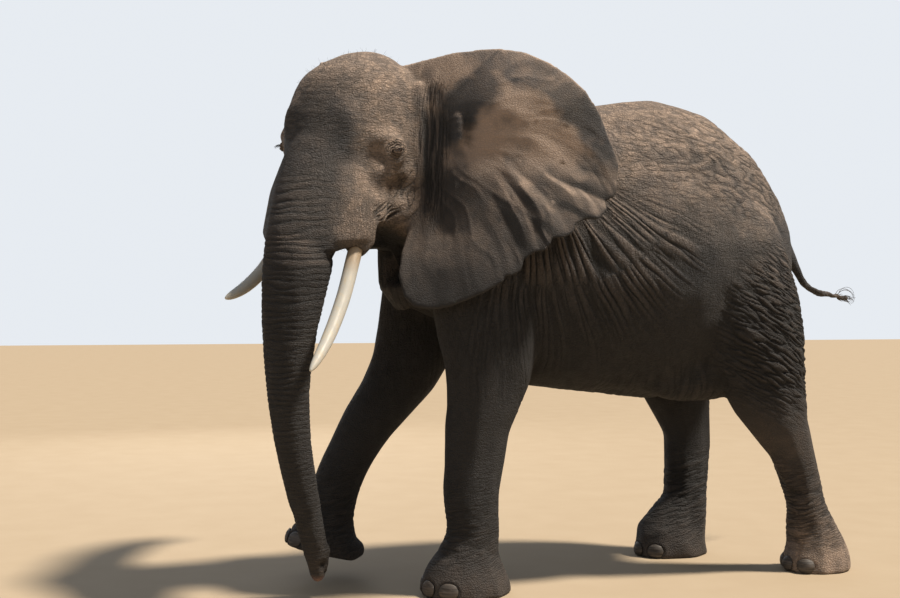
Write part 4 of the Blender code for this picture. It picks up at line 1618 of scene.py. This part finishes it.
@dataclass
class Hair:
    """Sparse hair: the tail's tuft, the lashes and short bristles, as thin tapered tubes in one mesh."""

    hide: Hide
    finish: bpy.types.Material
    knots: int = 9
    tuft_hairs: int = 56
    lid_lashes: int = 22
    short_bristles: int = 260

    def build(self) -> bpy.types.Object:
        """Grows every hair.

        Returns:
            The piece.
        """
        self.random = np.random.default_rng(5)
        self.verts, self.faces, self.uvs = [], [], []
        self.tuft()
        for side in Side:
            self.lashes(side)
        self.bristles()
        mesh = bpy.data.meshes.new("sparse_hair")
        mesh.from_pydata(np.concatenate(self.verts).tolist(), [], np.concatenate(self.faces).tolist())
        layer = mesh.uv_layers.new(name="OFBake")
        corner = np.empty(len(mesh.loops), np.int32)
        mesh.loops.foreach_get("vertex_index", corner)
        layer.data.foreach_set("uv", np.concatenate(self.uvs)[corner].astype(np.float32).ravel())
        hair = bpy.data.objects.new("sparse_hair", mesh)
        bpy.context.scene.collection.objects.link(hair)
        hair.data.materials.append(self.finish)
        return finish_piece(hair, ["tail_tuft"])

    def grow(self, path: Array, radius: float, place: tuple[float, float]) -> None:
        """Adds one hair.

        Args:
            path: the points along it, from root to tip.
            radius: its radius at the root.
            place: where the hair's small patch lies on its unwrap.
        """
        along = unit(np.gradient(path, axis=0))
        first = unit(np.cross(along, unit(np.array([0.31, 0.47, 0.83]))))
        second = np.cross(along, first)
        taper = radius * (1.0 - 0.8 * np.linspace(0.0, 1.0, len(path)) ** 1.5)
        rings = [path + (first * c + second * d) * taper[:, None] for c, d in ((1, 0), (0, 1), (-1, 0), (0, -1))]
        start = sum(len(v) for v in self.verts)
        count = len(path)
        self.verts.append(np.stack(rings, axis=1).reshape(-1, 3))
        low = start + 4 * np.arange(count - 1)[:, None] + np.arange(4)
        high = start + 4 * np.arange(count - 1)[:, None] + (np.arange(4) + 1) % 4
        sides = np.stack([low, high, high + 4, low + 4], axis=2).reshape(-1, 4)
        last = start + 4 * (count - 1)
        caps = np.array([[start + 3, start + 2, start + 1, start], [last, last + 1, last + 2, last + 3]])
        self.faces.append(np.concatenate([sides, caps]))
        t = np.repeat(np.linspace(0.0, 1.0, count), 4)
        s = np.tile((0.0, 0.33, 0.66, 1.0), count)
        self.uvs.append(np.column_stack([place[0] + 0.003 * t, place[1] + 0.003 * s]))

    def tuft(self) -> None:
        """The wiry hairs at the tail's end, a few of them curled into loops."""
        co = places(self.hide.skin)[self.hide.zone["tail"] > 0.8]
        tip = co[:, 1].max()
        for i in range(self.tuft_hairs):
            loop = i % 14 == 0
            back = 0.16 if loop else 0.15 * self.random.random() ** 1.6
            ring = co[np.abs(co[:, 1] - (tip - 0.012 - back)) < 0.012]
            middle, angle = ring.mean(0), self.random.random() * 2 * math.pi
            ahead = unit(co[co[:, 1] > tip - 0.02].mean(0) - co[np.abs(co[:, 1] - tip + 0.15) < 0.02].mean(0))
            side = unit(np.cross(ahead, UP))
            over = np.cross(side, ahead)
            outward = side * math.cos(angle) + over * math.sin(angle)
            length = 0.36 + 0.03 * self.random.random() if loop else 0.05 + 0.08 * self.random.random()
            t = np.linspace(0.0, 1.0, 2 * self.knots if loop else self.knots)
            turn = math.pi * (0.42 - 0.85 * t - 0.55 * t**4) if loop else self.random.normal(0.0, 0.3) * t
            step = ahead * (np.cos(turn) * (1.5 if loop else 1.0))[:, None] + over * (0.7 * np.sin(turn))[:, None]
            step = step + (outward * ((0.1 if loop else 0.25) * (1.0 - t) ** 2)[:, None]
                           + side * self.random.normal(0.0, 0.06))
            path = middle + outward * 0.012 + np.cumsum(step, axis=0) * (length / len(t))
            self.grow(path, 0.0017, (0.80 + back * 0.8, 0.10 + 0.1 * angle / math.pi))

    def lashes(self, side: Side) -> None:
        """The long lashes of one upper lid.

        Args:
            side: which eye.
        """
        lids = Lids(self.hide.head, side)
        for i in range(self.lid_lashes):
            a = lids.half_width * 1.02 * (2.0 * (i + 0.3 * self.random.random()) / (self.lid_lashes - 1) - 1.0)
            b = lids.upper * max(1.0 - (a / lids.half_width) ** 2, 0.0) - 0.16 * a + 0.002
            rho = math.hypot(a, b)
            h = math.sqrt(max((lids.ball + lids.lid) ** 2 - rho**2, 0.0)) - 0.001
            root = self.hide.head.eyes[side] + lids.fore * a + lids.rise * b + lids.look * h
            aim = unit(lids.look + lids.fore * a * 14.0 + lids.rise * (0.1 + 0.1 * self.random.random()))
            t = np.linspace(0.0, 1.0, self.knots)[:, None]
            length = 0.026 + 0.010 * self.random.random()
            path = root + aim * t * length - UP * t * t * length * 0.55
            self.grow(path, 0.0007, (0.02 + 0.006 * i, 0.02 if side is Side.LEFT else 0.05))

    def bristles(self) -> None:
        """Short stiff hairs on the crown and the chin."""
        skin = self.hide.skin
        co, nor = places(skin), normals(skin)
        local = self.hide.head.local(co)
        crown = smooth(2.70, 2.95, local[:, 2]) + smooth(2.02, 1.92, local[:, 2]) * (np.abs(local[:, 1]) < 0.12)
        chance = crown * (self.hide.zone["head"] > 0.9)
        chosen = self.random.choice(len(co), self.short_bristles, replace=False, p=chance / chance.sum())
        for i in chosen:
            t = np.linspace(0.0, 1.0, 6)[:, None]
            length = 0.012 + 0.018 * self.random.random()
            lean = self.random.normal(0.0, 0.35, 3)
            path = co[i] - nor[i] * 0.002 + (nor[i] + lean * t) * t * length
            around = math.atan2(local[i, 1], local[i, 2] - 2.4) / (2 * math.pi) + 0.5
            self.grow(path, 0.00055, (0.30 + 0.25 * (local[i, 0] + 0.5), 0.2 + 0.7 * around))


# --------------------------------------------------------------------------- studio


@dataclass
class Studio:
    """The floor, the lights and the camera."""

    camera_at: tuple[float, float, float] = (7.15705, -3.09026, 1.55)
    looking: tuple[float, float] = (-0.951, 0.309)
    pitch: float = math.radians(0.73)
    lens: float = 50.04
    floor_size: float = 120.0
    sand: Colour = (156, 138, 113)
    pale_sand: Colour = (165, 148, 124)

    def build(self) -> None:
        """Sets the stage."""
        self.floor()
        self.lights()
        self.camera()

    def floor(self) -> None:
        """A pale floor that the soles rest on."""
        deselect()
        bpy.ops.mesh.primitive_plane_add(size=self.floor_size, location=(0, 0, -0.0005))
        floor = bpy.context.object
        floor.name = "studio_floor"
        g = Graph("pale_floor")
        at = g.add("TexCoord").outputs["Object"]
        base = g.mix(g.noise(at, 3.0, 6.0), tint(*self.sand), tint(*self.pale_sand))
        floor.data.materials.append(g.surface(Base_Color=base, Roughness=0.85))

    def lights(self) -> None:
        """A soft high key on the elephant's left rear, a weak fill and pale air."""
        world = bpy.data.worlds.new("studio_air")
        bpy.context.scene.world = world
        world.use_nodes = True
        tree = world.node_tree
        air = tree.nodes["Background"]
        air.inputs[0].default_value, air.inputs[1].default_value = (0.80, 0.88, 1.0, 1.0), 0.32
        seen = tree.nodes.new("ShaderNodeBackground")
        seen.inputs[0].default_value, seen.inputs[1].default_value = (0.84, 0.88, 0.93, 1.0), 0.95
        rays, either = tree.nodes.new("ShaderNodeLightPath"), tree.nodes.new("ShaderNodeMixShader")
        tree.links.new(rays.outputs["Is Camera Ray"], either.inputs[0])
        tree.links.new(air.outputs[0], either.inputs[1])
        tree.links.new(seen.outputs[0], either.inputs[2])
        tree.links.new(either.outputs[0], tree.nodes["World Output"].inputs[0])
        bpy.context.scene.view_settings.view_transform = "Standard"
        lamps = (
            ("key", "SUN", (2.6, 4.0, 9.8), 6.6, 0.12, (1.0, 0.91, 0.79)),
            ("fill", "AREA", (8.5, -8.5, 4.5), 80.0, 5.0, (0.86, 0.93, 1.0)),
            ("far_fill", "AREA", (-9.0, -1.0, 4.5), 160.0, 5.0, (0.92, 0.95, 1.0)),
        )
        middle = Vector((0.2, -0.2, 1.4))
        for name, kind, place, power, size, colour in lamps:
            light = bpy.data.lights.new(name, kind)
            light.energy, light.color = power, colour
            setattr(light, "angle" if kind == "SUN" else "size", size)
            lamp = bpy.data.objects.new(name, light)
            lamp.location = place
            lamp.rotation_euler = (middle - Vector(place)).to_track_quat("-Z", "Y").to_euler()
            bpy.context.scene.collection.objects.link(lamp)

    def camera(self) -> None:
        """The view from the elephant's left, a little ahead."""
        camera = bpy.data.cameras.new("camera")
        camera.lens, camera.sensor_width = self.lens, 36.0
        stand = bpy.data.objects.new("camera", camera)
        stand.location = self.camera_at
        level = math.cos(self.pitch)
        look = Vector((self.looking[0] * level, self.looking[1] * level, math.sin(self.pitch)))
        stand.rotation_euler = look.to_track_quat("-Z", "Y").to_euler()
        bpy.context.scene.collection.objects.link(stand)
        bpy.context.scene.camera = stand


# Places on the head are forward, outward and up in its own frame, and the others are of the shared frame.

FOLDS = {
    "left thigh": Folds(
        {"torso": 1.0, "hind": 0.8}, (0.75, 1.15, 1.45), (0.6, 0.64, 0.66), (0.0, 0.45, 0.9), 0.020, 7.0,
        0.0090, seed=11,
    ),
    "right thigh": Folds(
        {"torso": 1.0, "hind": 0.8}, (-0.3, 1.15, 1.45), (0.6, 0.64, 0.66), (0.0, 0.45, 0.9), 0.020, 7.0,
        0.0090, seed=12,
    ),
    "belly": Folds({"torso": 1.0}, (0.2, 0.5, 1.0), (1.0, 0.9, 0.5), (0.0, 1.0, 0.25), 0.036, 5.0, 0.003, seed=13),
    "back": Folds({"torso": 1.0}, (0.2, 0.7, 2.4), (1.0, 1.2, 0.6), (0.0, 0.25, 1.0), 0.040, 2.5, 0.003, seed=14),
    "hind ankles": Folds(
        {"hind": 1.0, "feet": 0.7}, (0.2, 1.1, 0.38), (0.9, 0.9, 0.40), (0.0, -0.35, 1.0), 0.024, 6.0, 0.0045,
        seed=15,
    ),
    "fore ankles": Folds(
        {"fore": 1.0, "feet": 0.7}, (0.2, -1.1, 0.34), (0.9, 0.9, 0.28), (0.0, -0.25, 1.0), 0.021, 6.0, 0.003,
        seed=16,
    ),
    "left elbow": Folds(
        {"fore": 1.0}, (0.7, -0.42, 1.35), (0.35, 0.30, 0.55), (0.0, 0.3, 1.0), 0.024, 3.0, 0.006, seed=17,
    ),
    "neck and shoulder": Folds(
        {"neck": 1.0, "torso": 0.5}, (0.2, -0.95, 2.0), (0.9, 0.6, 0.9), (0.7, 0.6, 0.1), 0.036, 5.0, 0.004,
        seed=18,
    ),
    "roots of the ears": Folds(
        {"head": 1.0, "ear_left": 1.0, "ear_right": 1.0, "neck": 1.0}, (-0.10, 0.47, 2.50), (0.22, 0.12, 0.52),
        (0.1, 1.0, 0.0), 0.020, 16.0, 0.004, seed=23, on_head=True,
    ),
    "forehead": Folds(
        {"head": 1.0}, (0.28, 0.0, 2.60), (0.40, 0.45, 0.42), (0.2, 0.0, 1.0), 0.030, 4.0, 0.0012, seed=25,
        on_head=True,
    ),
    "cheek": Folds(
        {"head": 1.0}, (-0.04, 0.36, 2.25), (0.15, 0.16, 0.20), (1.0, 0.3, 0.2), 0.022, 6.0, 0.004, seed=26,
        on_head=True,
    ),
    "jaw": Folds(
        {"head": 1.0}, (0.12, 0.33, 2.13), (0.17, 0.14, 0.085), (0.6, 0.0, 1.0), 0.022, 7.0, 0.009, seed=27,
        on_head=True,
    ),
}

LUMPS = {
    "sheath of the tusk": Block((
        (0.41, 0.14, 2.42), (0.25, 0.27, 2.42), (0.51, 0.13, 2.20), (0.380, 0.275, 2.20), (0.25, 0.335, 2.22),
        (0.22, 0.330, 2.10), (0.585, 0.12, 1.97), (0.45, 0.268, 1.97), (0.32, 0.350, 1.985), (0.23, 0.340, 1.975),
        (0.55, 0.13, 1.865), (0.44, 0.215, 1.900), (0.30, 0.340, 1.975), (0.30, 0.10, 1.93), (0.20, 0.10, 2.40),
    )),
    "side of the brow": Lump((0.225, 0.110, 2.580), (0.135, 0.165, 0.200)),
    "middle of the brow": Lump((0.215, 0.000, 2.580), (0.140, 0.150, 0.190)),
    "root of the ear": Lump((-0.120, 0.375, 2.500), (0.050, 0.055, 0.400)),
    "foot of the ear's root": Lump((-0.100, 0.345, 2.300), (0.060, 0.060, 0.250)),
    "flap before the ear hole": Lump((-0.165, 0.597, 2.625), (0.020, 0.048, 0.100), paired=False),
    "skin from belly to thigh": Lump((0.400, 0.640, 1.230), (0.210, 0.430, 0.205), on_head=False, paired=False),
}

DENTS = {
    "corner of the mouth": Dent((0.05, 0.37, 2.29), (0.13, 0.14, 0.075), 0.052),
    "under the eye": Dent((0.17, 0.34, 2.40), (0.06, 0.12, 0.05), 0.012),
    "temple": Dent((-0.04, 0.37, 2.68), (0.10, 0.12, 0.12), 0.014),
    "ear hole": Dent((-0.17, 0.670, 2.62), (0.10, 0.035, 0.13), 0.022),
    "nostrils": Dent((0.490, -1.640, 0.195), (0.08, 0.026, 0.024), 0.024, "trunk"),
    "over the nostrils": Dent((0.470, -1.600, 0.275), (0.06, 0.035, 0.035), -0.017, "trunk"),
    "notch of the trunk's tip": Dent((0.470, -1.605, 0.140), (0.08, 0.032, 0.040), 0.030, "trunk"),
    "finger of the trunk": Dent((0.450, -1.672, 0.120), (0.05, 0.025, 0.030), -0.012, "trunk"),
}


def main() -> None:
    """Builds every piece in turn."""
    logging.basicConfig(level=logging.INFO, format="%(message)s")
    Studio().build()
    claws = [Claw(node) for node in sorted(frame["nodes"]) if node.startswith("nail_")]
    hide = Hide(folds=[*FOLDS.values()], lumps=[*LUMPS.values()], dents=[*DENTS.values()], claws=claws)
    skin = hide.build()
    skin.data.materials.append(HideFinish().material())
    wet, ivory, horn = EyeFinish().material(), IvoryFinish().material(), NailFinish().material()
    for side in Side:
        Eye(side, hide.head, wet).build()
        Tusk(side, ivory).build()
    tree = BVHTree.FromPolygons([v.co for v in skin.data.vertices], [p.vertices for p in skin.data.polygons])
    for claw in claws:
        Nail(claw, tree, horn).build()
    Hair(hide, HairFinish().material()).build()


if __name__ == "__main__":
    main()
